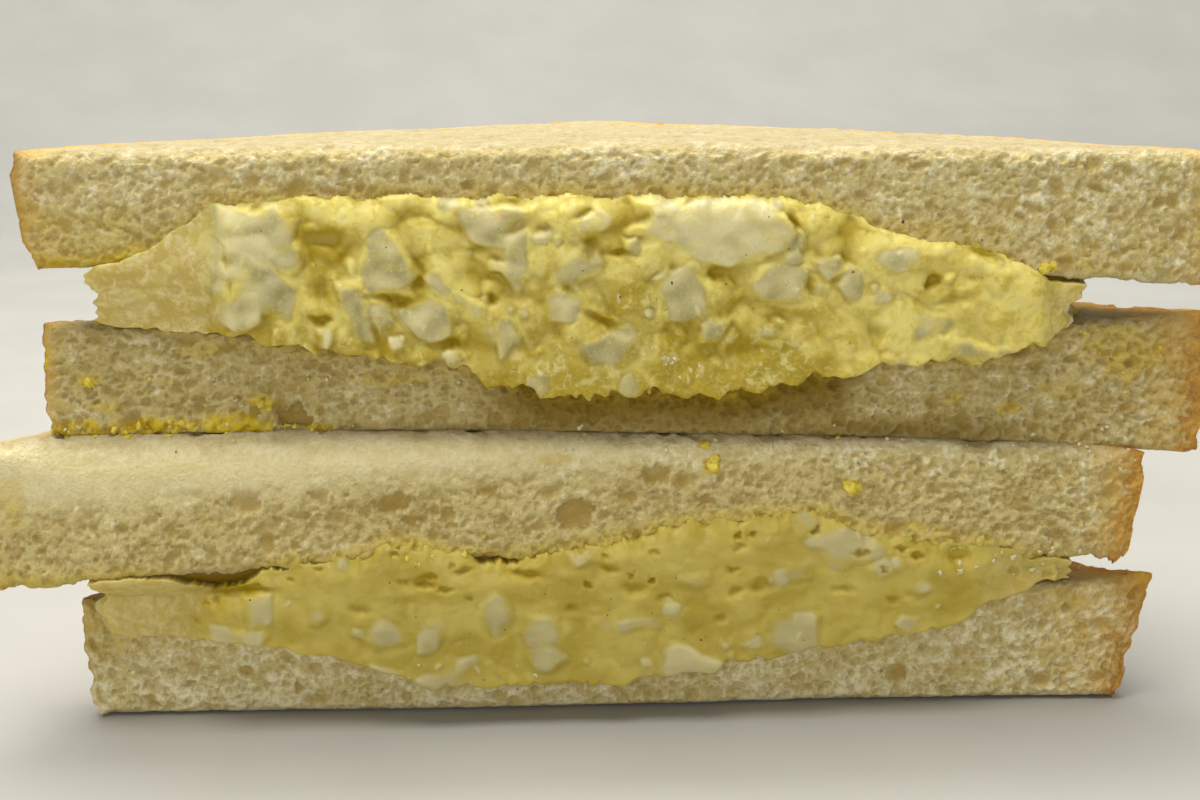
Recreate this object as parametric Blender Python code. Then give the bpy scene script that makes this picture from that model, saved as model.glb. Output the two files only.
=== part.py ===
"""Egg salad sandwich: one sandwich cut corner to corner, its two halves stacked with the cut faces
to the front (-Y).  Each half is two thick slices of white bread with an egg salad filling that runs
through between them and is squeezed out over the cut faces.

Frame: metres, +Z up, X along the cut, origin at the middle of the base.
Working sizes below are in millimetres.
"""

import math

import bmesh
import bpy
import numpy as np

MM = 0.001

# ---------------------------------------------------------------- driving sizes (mm)
TIP_RADIUS = 6.5         # rounded corner of the loaf where the knife leaves it
APEX_RADIUS = 10.0       # rounded corner of the loaf at the back
LEG_HOLLOW = 0.9         # how far each crust side is drawn in at its middle
CUT_EDGE_RADIUS = 1.6    # soft edge along the cut face
CRUST_EDGE_RADIUS = 3.0  # rounder edge along the crust
CRUST_BULGE = 0.7        # crust side stands proud at half height
GAP = 0.40               # clearance between touching pieces
SEAT_GAP = 0.30          # clearance between the two halves
STACK_HEIGHT = 78.6
SPAN = 75.0              # half width that the height profiles are stated for

# Heights of each surface at the cut face: left end, middle, right end, and at the back corner.
BASE_TOP = (17.6, 14.8, 18.4, 15.6)      # lower half, top of its bottom slice
LOWER_LID_UNDER = (21.2, 23.6, 21.8, 20.8)
SEAT = (40.5, 40.3, 36.7, 39.6)          # where the upper half sits on the lower one
UPPER_BASE_TOP = (55.9, 52.7, 55.2, 54.2)
UPPER_LID_UNDER = (63.1, 63.3, 60.2, 60.6)
CROWN = (78.0, 78.3, 77.5, 77.4)         # top of the stack
CROWN_DOME = 0.75

# Each slice: x of its left and right tip, y of its cut face at the left and right end,
# forward lean (top edge minus bottom edge), radius of the upper cut edge left and right.
SLICES = {
    "upper_half_top_slice": dict(tips=(-74.2, 82.6), face=(2.6, 3.0), lean=0.3, top_edge=(2.2, 2.2), wave=1.3),
    "upper_half_bottom_slice": dict(tips=(-72.4, 84.0), face=(6.0, 5.4), lean=-0.2, top_edge=(1.6, 1.6), wave=4.1),
    "lower_half_top_slice": dict(tips=(-81.4, 75.3), face=(1.2, 3.6), lean=-0.2, top_edge=(6.2, 2.4), wave=2.2),
    "lower_half_bottom_slice": dict(tips=(-71.0, 78.0), face=(7.2, 6.0), lean=0.0, top_edge=(1.6, 1.6), wave=5.7),
}

# Each filling: where it starts and ends along the cut, how far in from the crust it stops, and the
# squeezed-out lip: (x, climb over the slice above, drop over the slice below, y of its front).
FILLINGS = {
    "upper_half_filling": dict(
        ends=(-66.5, 64.5), inset=5.5,
        lip=((-66.5, 0.3, 0.3, 6.2), (-56, 0.7, 0.3, 4.2), (-49, 7.6, 0.6, 1.6), (-40, 8.8, 1.2, 0.8), (-22, 8.9, 3.0, 0.3),
             (-5, 8.9, 7.0, 0.0), (20, 8.9, 7.3, 0.0), (30, 7.4, 4.6, 0.3), (45, 3.2, 4.0, 0.9), (56, 1.4, 3.4, 2.2), (64.5, 0.3, 0.4, 5.2))),
    "lower_half_filling": dict(
        ends=(-68.5, 66.0), inset=6.0,
        lip=((-68.5, 0.3, 3.6, 5.6), (-52, 0.4, 4.4, 3.4), (-34, 0.9, 7.4, 1.0), (-26, 3.2, 10.2, 0.4), (-12, 0.7, 10.4, 0.3),
             (2, 2.2, 9.9, 0.3), (16, 5.0, 8.2, 0.3), (29, 5.8, 6.2, 0.5), (42, 2.3, 4.6, 0.9), (54, 1.6, 3.4, 2.4), (66.0, 0.3, 0.4, 6.4))),
}

SLICE_COLUMNS = 38       # facets along the cut
FILLING_COLUMNS = 32


# ---------------------------------------------------------------- shape functions
def smooth(t):
    t = np.clip(t, 0.0, 1.0)
    return t * t * (3.0 - 2.0 * t)


def height(levels, x, y):
    """Surface height at plan position x, y: a parabola along the cut that eases to the back level."""
    left, mid, right, back = levels
    t = x / SPAN
    front = mid + 0.5 * (right - left) * t + (0.5 * (left + right) - mid) * t * t
    return front + (back - front) * smooth(y / 74.0)


def crown(x, y):
    return height(CROWN, x, y) + CROWN_DOME * np.exp(-((x - 3.0) / 48.0) ** 2 - ((y - 24.0) / 26.0) ** 2)


SURFACES = {
    "upper_half_top_slice": (lambda x, y: height(UPPER_LID_UNDER, x, y), crown),
    "upper_half_bottom_slice": (lambda x, y: height(SEAT, x, y) + SEAT_GAP, lambda x, y: height(UPPER_BASE_TOP, x, y)),
    "lower_half_top_slice": (lambda x, y: height(LOWER_LID_UNDER, x, y), lambda x, y: height(SEAT, x, y)),
    "lower_half_bottom_slice": (lambda x, y: 0.0 * x, lambda x, y: height(BASE_TOP, x, y)),
}


def crust_path(width, wave, count=1500):
    """Plan curve of the crust from the left tip round the back corner to the right tip, as (s, x, y, nx, ny).
    x runs from -width/2 to width/2; the normal points outwards."""
    c45 = math.cos(math.pi / 4)
    leg = (width / 2 - TIP_RADIUS * (1 - c45) - APEX_RADIUS * c45) / c45
    runs = [(TIP_RADIUS * math.pi / 4, -1 / TIP_RADIUS), (leg, 0.0), (APEX_RADIUS * math.pi / 2, -1 / APEX_RADIUS),
            (leg, 0.0), (TIP_RADIUS * math.pi / 4, -1 / TIP_RADIUS)]
    total = sum(r[0] for r in runs)
    s = np.linspace(0, total, count)
    turn = np.zeros(count)
    start = 0.0
    for length, bend in runs:
        turn += bend * np.clip(s - start, 0, length)
        start += length
    heading = math.pi / 2 + turn
    step = total / (count - 1)
    mid = 0.5 * (heading[1:] + heading[:-1])
    x = -width / 2 + np.concatenate([[0], np.cumsum(np.cos(mid) * step)])
    y = np.concatenate([[0], np.cumsum(np.sin(mid) * step)])
    nx, ny = -np.sin(heading), np.cos(heading)
    first = runs[0][0]
    second = first + leg + runs[2][0]
    for a in (first, second):
        q = np.clip((s - a) / leg, 0, 1)
        off = -LEG_HOLLOW * np.sin(math.pi * q) ** 2
        x, y = x + nx * off, y + ny * off
    ripple = 0.35 * np.sin(s / 9.0 + wave) + 0.25 * np.sin(s / 4.3 + 2.3 * wave)
    ripple *= smooth(s / 14.0) * smooth((total - s) / 14.0)
    return s, x + nx * ripple, y + ny * ripple, nx, ny


def face_y(spec, x):
    a, b = spec["face"]
    lo, hi = spec["tips"]
    return a + (b - a) * (x - lo) / (hi - lo) + 0.35 * np.sin(x / 17.0 + spec["wave"])


def slice_plan(spec, t):
    """For column parameters t in 0..1: front points on the cut and crust points, in plan."""
    lo, hi = spec["tips"]
    s, px, py, _, _ = crust_path(hi - lo, spec["wave"])
    skip = 0.9
    st = skip + (s[-1] - 2 * skip) * t
    cx = np.interp(st, s, px) + 0.5 * (lo + hi)
    cy = np.interp(st, s, py)
    fx = lo + 0.12 + (hi - lo - 0.24) * t
    return fx, face_y(spec, fx), cx, cy + face_y(spec, cx)


def slice_ring(name, t, front=4, corner=2, top=4, crust=3, bottom=4):
    """Closed rings of points round the slice, one for each t, from the lower cut edge up the cut face, over the top,
    down the crust and back along the underside. Returns an array (columns, ring, 3) in mm."""
    spec = SLICES[name]
    under, over = SURFACES[name]
    fx, fy, cx, cy = slice_plan(spec, t)
    depth = np.hypot(cx - fx, cy - fy)
    dx, dy = (cx - fx) / depth, (cy - fy) / depth
    lo, hi = spec["tips"]
    ea, eb = spec["top_edge"]
    share = np.clip((fx - lo) / (hi - lo), 0, 1)
    r_up = np.minimum(ea + (eb - ea) * smooth(share), 0.42 * depth)
    r_dn = np.minimum(CUT_EDGE_RADIUS, 0.42 * depth)
    r_cr = np.minimum(CRUST_EDGE_RADIUS, 0.42 * depth)
    base = name == "lower_half_bottom_slice"
    ring = []

    def put(u, z_of):
        x, y = fx + dx * u, fy + dy * u
        ring.append(np.stack([x, y, z_of(x, y)], -1))

    def face(v):
        lean = spec["lean"] * (0.5 - v)
        x, y = fx, fy + lean
        zb, zt = under(x, y) + r_dn, over(x, y) - r_up
        ring.append(np.stack([x, y, zb + (zt - zb) * v], -1))

    for v in np.linspace(0, 1, front):
        face(v)
    for k in range(1, corner + 1):
        a = 0.5 * math.pi * k / (corner + 1)
        u = r_up * (1 - math.cos(a))
        put(u, lambda x, y, a=a: over(x, y) - r_up * (1 - math.sin(a)))
    for q in np.linspace(0, 1, top):
        put(r_up + (depth - r_up - r_cr) * q, over)
    for k in range(1, corner + 1):
        a = 0.5 * math.pi * k / (corner + 1)
        put(depth - r_cr * (1 - math.sin(a)), lambda x, y, a=a: over(x, y) - r_cr * (1 - math.cos(a)))
    for v in np.linspace(1, 0, crust):
        bulge = CRUST_BULGE * 4 * v * (1 - v) * np.minimum(1, depth / 8)
        x, y = fx + dx * (depth + bulge), fy + dy * (depth + bulge)
        zb, zt = under(x, y) + r_cr * 0.8, over(x, y) - r_cr
        ring.append(np.stack([x, y, zb + (zt - zb) * v], -1))
    for k in range(1, corner):
        a = 0.5 * math.pi * k / corner
        put(depth - r_cr * (1 - math.cos(a)), lambda x, y, a=a: under(x, y) + r_cr * 0.8 * (1 - math.sin(a)))
    for q in np.linspace(1, 0, bottom):
        put(r_dn + (depth - r_dn - r_cr) * q, under)
    a = 0.25 * math.pi
    put(r_dn * (1 - math.sin(a)), lambda x, y: under(x, y) + r_dn * (1 - math.cos(a)))
    out = np.stack(ring, 1)
    if base:
        out[..., 2] = np.maximum(out[..., 2], 0.0)
    return out


def lip_at(spec, x):
    """Climb, drop and front of the squeezed-out lip at x, eased between the stated stations."""
    table = np.array(spec["lip"], float)
    i = np.clip(np.searchsorted(table[:, 0], x) - 1, 0, len(table) - 2)
    q = smooth((x - table[i, 0]) / (table[i + 1, 0] - table[i, 0]))[:, None]
    return (table[i, 1:] * (1 - q) + table[i + 1, 1:] * q).T


def filling_plan(name, t):
    """Front points where the filling leaves the slices, and its uneven edge inside the crust."""
    spec = FILLINGS[name]
    half = name.split("_")[0]
    above, below = SLICES[half + "_half_top_slice"], SLICES[half + "_half_bottom_slice"]
    lo = max(above["tips"][0], below["tips"][0])
    hi = min(above["tips"][1], below["tips"][1])
    s, px, py, nx, ny = crust_path(hi - lo, 0.7)
    start = np.maximum(face_y(above, px + 0.5 * (lo + hi)), face_y(below, px + 0.5 * (lo + hi)))
    inset = spec["inset"] + 1.3 * np.sin(s / 6.1) + 0.9 * np.sin(s / 2.7 + 1.1)
    x = px - nx * inset + 0.5 * (lo + hi)
    y = py - ny * inset + start
    x0, x1 = spec["ends"]
    fx = x0 + (x1 - x0) * t
    fy = np.maximum(face_y(above, fx), face_y(below, fx)) + 2.2
    keep = (y > start + 3.4) & (x > x0 - 3) & (x < x1 + 3)
    x, y = x[keep], y[keep]
    run = np.concatenate([[0], np.cumsum(np.hypot(np.diff(x), np.diff(y)))])
    bx, by = np.interp(t * run[-1], run, x), np.interp(t * run[-1], run, y)
    return fx, fy, bx, by


def filling_ring(name, t, slab=4, wrap=3, front=5):
    """Closed rings round the filling, one for each t: along its top towards the front, up over the slice above,
    down the front of the lip, back under it and along the underside."""
    spec = FILLINGS[name]
    half = name.split("_")[0]
    above, below = SLICES[half + "_half_top_slice"], SLICES[half + "_half_bottom_slice"]
    roof = SURFACES[half + "_half_top_slice"][0]
    floor = SURFACES[half + "_half_bottom_slice"][1]
    fx, fy, bx, by = filling_plan(name, t)
    climb, drop, nose = lip_at(spec, fx)
    ring = []

    def hug(face, edge, surface, sign, length):
        """Follows the rounded cut edge of a slice at GAP from it, then runs straight along its cut face."""
        pts = []
        r = edge + GAP
        arc = r * math.pi / 2
        bend = np.minimum(length, arc)
        for w in [bend * k / wrap for k in range(wrap + 1)] + [np.maximum(length, bend + 0.5)]:
            a = np.minimum(w, arc) / r
            rest = np.maximum(w - arc, 0)
            y = face + edge - r * np.sin(a)
            z0 = surface(fx, face + edge)
            z = z0 + sign * (edge - r * np.cos(a) + rest)
            pts.append(np.stack([fx, y, z], -1))
        return pts

    up_edge = np.full_like(fx, CUT_EDGE_RADIUS)
    ea, eb = below["top_edge"]
    share = np.clip((fx - below["tips"][0]) / (below["tips"][1] - below["tips"][0]), 0, 1)
    dn_edge = ea + (eb - ea) * smooth(share)
    quarter = (CUT_EDGE_RADIUS + GAP) * math.pi / 2
    high = hug(face_y(above, fx) + 0.5 * abs(above["lean"]) * -1, up_edge, roof, 1, climb + 0.55 * quarter)
    low = hug(face_y(below, fx) + 0.5 * abs(below["lean"]) * -1, dn_edge, floor, -1, drop + 0.55 * quarter)

    for q in np.linspace(1, 0, slab):
        x, y = fx + (bx - fx) * q, fy + (by - fy) * q
        ring.append(np.stack([x, y, roof(x, y) - GAP], -1))
    ring += high
    top, bot = high[-1], low[-1]
    nose = np.minimum(nose, np.minimum(top[:, 1], bot[:, 1]) - 0.5)
    for k in range(1, front + 1):
        v = k / (front + 1)
        line = top + (bot - top) * v
        swell = (1 - abs(2 * v - 1) ** 2.6)
        y = line[:, 1] + (nose - line[:, 1]) * swell
        ring.append(np.stack([line[:, 0], y, line[:, 2]], -1))
    ring += low[::-1]
    for q in np.linspace(0, 1, slab):
        x, y = fx + (bx - fx) * q, fy + (by - fy) * q
        ring.append(np.stack([x, y, floor(x, y) + GAP], -1))
    x, y = bx + 0.0, by + 0.0
    out_x, out_y = bx - fx, by - fy
    n = np.hypot(out_x, out_y)
    belly = 1.1 * np.minimum(1, n / 10)
    x, y = bx + out_x / n * belly, by + out_y / n * belly
    ring.append(np.stack([x, y, 0.5 * (roof(x, y) + floor(x, y))], -1))
    return np.stack(ring, 1)


# ---------------------------------------------------------------- making the objects
def column_parameters(count, ends=2.0, apex=2.4):
    """0..1, closer together near both ends and round the back corner, where the outline turns."""
    t = np.linspace(0, 1, 2001)
    weight = 1 + ends * (np.exp(-(t / 0.035) ** 2) + np.exp(-((1 - t) / 0.035) ** 2)) + apex * np.exp(-((t - 0.5) / 0.045) ** 2)
    run = np.concatenate([[0], np.cumsum(0.5 * (weight[1:] + weight[:-1]))])
    return np.interp(np.linspace(0, run[-1], count), run, t)


def material(name, colour, roughness):
    m = bpy.data.materials.new(name)
    m.use_nodes = True
    p = m.node_tree.nodes["Principled BSDF"]
    p.inputs["Base Color"].default_value = (*colour, 1)
    p.inputs["Roughness"].default_value = roughness
    p.inputs["Metallic"].default_value = 0.0
    return m


def solid_from_rings(name, rings, mat, flat_base=False):
    """A closed mesh through the rings with a cap at each end. Points are in mm."""
    n, k, _ = rings.shape
    verts = (rings.reshape(-1, 3) * MM).tolist()
    faces = []
    for i in range(n - 1):
        for j in range(k):
            a, b = i * k + j, i * k + (j + 1) % k
            faces.append((a, b, b + k, a + k))
    faces.append(tuple(range(k - 1, -1, -1)))
    faces.append(tuple((n - 1) * k + j for j in range(k)))
    mesh = bpy.data.meshes.new(name)
    mesh.from_pydata(verts, [], faces)
    mesh.validate()
    bm = bmesh.new()
    bm.from_mesh(mesh)
    bmesh.ops.remove_doubles(bm, verts=bm.verts, dist=2e-6)
    bmesh.ops.recalc_face_normals(bm, faces=bm.faces)
    if flat_base:
        low = [f for f in bm.faces if max(v.co.z for v in f.verts) < 1e-7]
        edges = list({e for f in low for e in f.edges})
        bmesh.ops.dissolve_limit(bm, angle_limit=0.001, verts=[], edges=edges)
    bmesh.ops.triangulate(bm, faces=bm.faces)
    if bm.calc_volume() < 0:
        bmesh.ops.reverse_faces(bm, faces=bm.faces)
    bm.to_mesh(mesh)
    bm.free()
    mesh.shade_smooth()
    mesh.set_sharp_from_angle(angle=math.radians(50))
    mesh.materials.append(mat)
    ob = bpy.data.objects.new(name, mesh)
    bpy.context.scene.collection.objects.link(ob)
    return ob


def main():
    for o in list(bpy.data.objects):
        bpy.data.objects.remove(o)
    crumb = material("white_bread_crumb", (0.80, 0.70, 0.47), 0.9)
    egg = material("egg_salad", (0.80, 0.66, 0.20), 0.5)
    t = column_parameters(SLICE_COLUMNS)
    made = []
    for name in SLICES:
        made.append(solid_from_rings(name, slice_ring(name, t), crumb, flat_base=name == "lower_half_bottom_slice"))
    for name in FILLINGS:
        made.append(solid_from_rings(name, filling_ring(name, column_parameters(FILLING_COLUMNS, 1.0, 0.8)), egg))
    # The origin goes to the middle of the base of the whole stack.
    points = np.array([v.co for o in made for v in o.data.vertices])
    low, high = points.min(0), points.max(0)
    shift = np.array([-(low[0] + high[0]) / 2, -(low[1] + high[1]) / 2, -low[2]])
    for o in made:
        for v in o.data.vertices:
            v.co.x += shift[0]
            v.co.y += shift[1]
            v.co.z += shift[2]
    print("origin shift in mm:", [round(float(s) / MM, 4) for s in shift], "size in mm:", [round(float(s) / MM, 2) for s in high - low])
    for o in made:
        bm = bmesh.new()
        bm.from_mesh(o.data)
        print(o.name, "triangles", len(o.data.polygons), "volume cm3", round(bm.calc_volume() * 1e6, 2))
        bm.free()


main()
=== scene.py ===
import math

import bpy
import numpy as np
from mathutils import Matrix, Vector
from mathutils.bvhtree import BVHTree


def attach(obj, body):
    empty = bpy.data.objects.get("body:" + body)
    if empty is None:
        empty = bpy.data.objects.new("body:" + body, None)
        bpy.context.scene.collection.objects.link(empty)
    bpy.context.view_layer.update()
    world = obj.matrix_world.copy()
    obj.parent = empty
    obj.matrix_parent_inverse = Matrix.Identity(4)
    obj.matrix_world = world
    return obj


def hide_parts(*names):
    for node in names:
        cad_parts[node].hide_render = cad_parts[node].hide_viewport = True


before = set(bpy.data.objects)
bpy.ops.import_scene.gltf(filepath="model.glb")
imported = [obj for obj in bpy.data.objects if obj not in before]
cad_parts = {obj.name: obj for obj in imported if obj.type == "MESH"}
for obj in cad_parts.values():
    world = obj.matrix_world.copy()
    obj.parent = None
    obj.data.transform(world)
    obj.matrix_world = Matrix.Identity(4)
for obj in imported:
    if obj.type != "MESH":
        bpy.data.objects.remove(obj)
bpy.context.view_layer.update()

# Egg salad sandwich cut corner to corner: two triangular halves stacked with the cut faces to the front (-Y).
# Working sizes are in millimetres, in the plan frame of the solids, and SHIFT moves them to the row's frame.
MM = 0.001
SHIFT = np.array([-1.2975, -41.2368, 0.0])

# ---------------------------------------------------------------- sizes of the solids (mm)
TIP_RADIUS = 6.5
APEX_RADIUS = 10.0
LEG_HOLLOW = 0.9
CUT_EDGE_RADIUS = 1.6
CRUST_EDGE_RADIUS = 3.0
CRUST_BULGE = 0.7
SEAT_GAP = 0.30
SPAN = 75.0
BASE_TOP = (17.6, 14.8, 18.4, 15.6)
LOWER_LID_UNDER = (21.2, 23.6, 21.8, 20.8)
SEAT = (40.5, 40.3, 36.7, 39.6)
UPPER_BASE_TOP = (55.9, 52.7, 55.2, 54.2)
UPPER_LID_UNDER = (63.1, 63.3, 60.2, 60.6)
CROWN = (78.0, 78.3, 77.5, 77.4)
CROWN_DOME = 0.75
SLICES = {
    "upper_half_top_slice": dict(tips=(-74.2, 82.6), face=(2.6, 3.0), lean=0.3, top_edge=(2.2, 2.2), wave=1.3),
    "upper_half_bottom_slice": dict(tips=(-72.4, 84.0), face=(6.0, 5.4), lean=-0.2, top_edge=(1.6, 1.6), wave=4.1),
    "lower_half_top_slice": dict(tips=(-81.4, 75.3), face=(1.2, 3.6), lean=-0.2, top_edge=(6.2, 2.4), wave=2.2),
    "lower_half_bottom_slice": dict(tips=(-71.0, 78.0), face=(7.2, 6.0), lean=0.0, top_edge=(1.6, 1.6), wave=5.7),
}
FILLINGS = {
    "upper_half_filling": dict(ends=(-66.5, 64.5), inset=5.5),
    "lower_half_filling": dict(ends=(-68.5, 66.0), inset=6.0),
}

# ---------------------------------------------------------------- camera
VIEW_DISTANCE, VIEW_RISE, VIEW_TURN, VIEW_HEIGHT = 210.0, math.radians(13.0), math.radians(-3.2), 45.9
FOCAL_PIXELS = 1615.0    # for an image 1200 wide
VIEW_BACK = np.array([math.sin(VIEW_TURN) * math.cos(VIEW_RISE), -math.cos(VIEW_TURN) * math.cos(VIEW_RISE), math.sin(VIEW_RISE)])
VIEW_FROM = np.array([0.0, 0.0, VIEW_HEIGHT]) + VIEW_BACK * VIEW_DISTANCE
VIEW_RIGHT = np.cross(-VIEW_BACK, [0, 0, 1.0])
VIEW_RIGHT /= np.linalg.norm(VIEW_RIGHT)
VIEW_UP = np.cross(VIEW_RIGHT, -VIEW_BACK)


def spot(px, py, depth=0.0):
    """Plan x and height z of image point px, py on the upright plane y = depth."""
    ray = -VIEW_BACK * FOCAL_PIXELS + VIEW_RIGHT * (px - 600.0) + VIEW_UP * (400.0 - py)
    k = (depth - VIEW_FROM[1]) / ray[1]
    p = VIEW_FROM + ray * k
    return p[0], p[2]


PX = VIEW_DISTANCE / FOCAL_PIXELS   # mm for each image pixel at the front


# ---------------------------------------------------------------- shape functions
def smooth(t):
    t = np.clip(t, 0.0, 1.0)
    return t * t * (3.0 - 2.0 * t)


def height(levels, x, y):
    left, mid, right, back = levels
    t = x / SPAN
    front = mid + 0.5 * (right - left) * t + (0.5 * (left + right) - mid) * t * t
    return front + (back - front) * smooth(y / 74.0)


def crown(x, y):
    return height(CROWN, x, y) + CROWN_DOME * np.exp(-((x - 3.0) / 48.0) ** 2 - ((y - 24.0) / 26.0) ** 2)


SURFACES = {
    "upper_half_top_slice": (lambda x, y: height(UPPER_LID_UNDER, x, y), crown),
    "upper_half_bottom_slice": (lambda x, y: height(SEAT, x, y) + SEAT_GAP, lambda x, y: height(UPPER_BASE_TOP, x, y)),
    "lower_half_top_slice": (lambda x, y: height(LOWER_LID_UNDER, x, y), lambda x, y: height(SEAT, x, y)),
    "lower_half_bottom_slice": (lambda x, y: 0.0 * x, lambda x, y: height(BASE_TOP, x, y)),
}


def crust_path(width, wave, count=1500):
    c45 = math.cos(math.pi / 4)
    leg = (width / 2 - TIP_RADIUS * (1 - c45) - APEX_RADIUS * c45) / c45
    runs = [(TIP_RADIUS * math.pi / 4, -1 / TIP_RADIUS), (leg, 0.0), (APEX_RADIUS * math.pi / 2, -1 / APEX_RADIUS),
            (leg, 0.0), (TIP_RADIUS * math.pi / 4, -1 / TIP_RADIUS)]
    total = sum(r[0] for r in runs)
    s = np.linspace(0, total, count)
    turn = np.zeros(count)
    start = 0.0
    for length, bend in runs:
        turn += bend * np.clip(s - start, 0, length)
        start += length
    heading = math.pi / 2 + turn
    step = total / (count - 1)
    mid = 0.5 * (heading[1:] + heading[:-1])
    x = -width / 2 + np.concatenate([[0], np.cumsum(np.cos(mid) * step)])
    y = np.concatenate([[0], np.cumsum(np.sin(mid) * step)])
    nx, ny = -np.sin(heading), np.cos(heading)
    first = runs[0][0]
    second = first + leg + runs[2][0]
    for a in (first, second):
        q = np.clip((s - a) / leg, 0, 1)
        off = -LEG_HOLLOW * np.sin(math.pi * q) ** 2
        x, y = x + nx * off, y + ny * off
    ripple = 0.35 * np.sin(s / 9.0 + wave) + 0.25 * np.sin(s / 4.3 + 2.3 * wave)
    ripple *= smooth(s / 14.0) * smooth((total - s) / 14.0)
    return s, x + nx * ripple, y + ny * ripple, nx, ny


def face_y(spec, x):
    a, b = spec["face"]
    lo, hi = spec["tips"]
    return a + (b - a) * (x - lo) / (hi - lo) + 0.35 * np.sin(x / 17.0 + spec["wave"])


# ---------------------------------------------------------------- noise and stamped fields
_lattices = {}


def lattice(seed):
    if seed not in _lattices:
        angle = np.random.default_rng(seed).random((256, 256)) * 2 * math.pi
        _lattices[seed] = (np.cos(angle), np.sin(angle))
    return _lattices[seed]


def noise(x, y, seed):
    """Smooth gradient noise, about -1..1, one cell for each unit of x and y."""
    gx, gy = lattice(seed)
    xi, yi = np.floor(x).astype(int), np.floor(y).astype(int)
    fx, fy = x - xi, y - yi
    u = fx ** 3 * (fx * (fx * 6 - 15) + 10)
    v = fy ** 3 * (fy * (fy * 6 - 15) + 10)

    def corner(i, j):
        a, b = (xi + i) & 255, (yi + j) & 255
        return gx[a, b] * (fx - i) + gy[a, b] * (fy - j)

    low = corner(0, 0) * (1 - u) + corner(1, 0) * u
    high = corner(0, 1) * (1 - u) + corner(1, 1) * u
    return 1.5 * (low * (1 - v) + high * v)


def fbm(x, y, seed, octaves=4, gain=0.5):
    total, amp, norm = 0.0, 1.0, 0.0
    for o in range(octaves):
        total = total + amp * noise(x * 2 ** o + 13.7 * o, y * 2 ** o + 5.1 * o, seed + 31 * o)
        norm += amp
        amp *= gain
    return total / norm


class Field:
    """A flat patch of square cells that shapes are stamped on."""

    def __init__(self, u0, u1, v0, v1, cell):
        self.u0, self.v0, self.cell = u0, v0, cell
        self.nu, self.nv = int((u1 - u0) / cell) + 2, int((v1 - v0) / cell) + 2
        self.u1, self.v1 = u0 + self.nu * cell, v0 + self.nv * cell
        self.U, self.V = np.meshgrid(u0 + cell * np.arange(self.nu), v0 + cell * np.arange(self.nv), indexing="ij")

    def blank(self, value=0.0):
        return np.full((self.nu, self.nv), value)

    def window(self, u, v, r):
        a = max(0, int((u - r - self.u0) / self.cell))
        b = min(self.nu, int((u + r - self.u0) / self.cell) + 2)
        c = max(0, int((v - r - self.v0) / self.cell))
        d = min(self.nv, int((v + r - self.v0) / self.cell) + 2)
        if a >= b or c >= d:
            return None
        return (slice(a, b), slice(c, d))

    def at(self, values, u, v):
        a = np.clip((u - self.u0) / self.cell, 0, self.nu - 1.001)
        b = np.clip((v - self.v0) / self.cell, 0, self.nv - 1.001)
        i, j = a.astype(int), b.astype(int)
        p, q = a - i, b - j
        return ((values[i, j] * (1 - p) + values[i + 1, j] * p) * (1 - q)
                + (values[i, j + 1] * (1 - p) + values[i + 1, j + 1] * p) * q)


def blur(a, times=1):
    """Small box blur, repeated."""
    for _ in range(times):
        p = np.pad(a, 1, mode="edge")
        a = (p[:-2, 1:-1] + p[2:, 1:-1] + p[1:-1, :-2] + p[1:-1, 2:] + 2 * p[1:-1, 1:-1]) / 6
    return a


def stamp_pits(field, out, U, V, rng, count, size, depth, stretch=1.5, where=None):
    """Presses count round-bottomed hollows into out, sizes in mm drawn between the two ends of size."""
    for _ in range(count):
        u = rng.uniform(field.u0, field.u1)
        v = rng.uniform(field.v0, field.v1)
        r = size[0] * (size[1] / size[0]) ** rng.random()
        e = stretch ** rng.uniform(-0.3, 1.0)
        turn = rng.normal(0, 0.5)
        deep = rng.uniform(*depth) * r
        if where is not None and rng.random() > where(u, v):
            continue
        press(field, out, U, V, u, v, r * e, r / e ** 0.5, turn, deep)


def press(field, out, U, V, u, v, a, b, turn, deep, power=0.5):
    w = field.window(u, v, 1.4 * max(a, b) + 0.5)
    if w is None:
        return
    du, dv = U[w] - u, V[w] - v
    c, s = math.cos(turn), math.sin(turn)
    q = ((du * c + dv * s) / a) ** 2 + ((dv * c - du * s) / b) ** 2
    hole = deep * np.clip(1 - q, 0, 1) ** power
    out[w] = np.maximum(out[w], hole)


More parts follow.
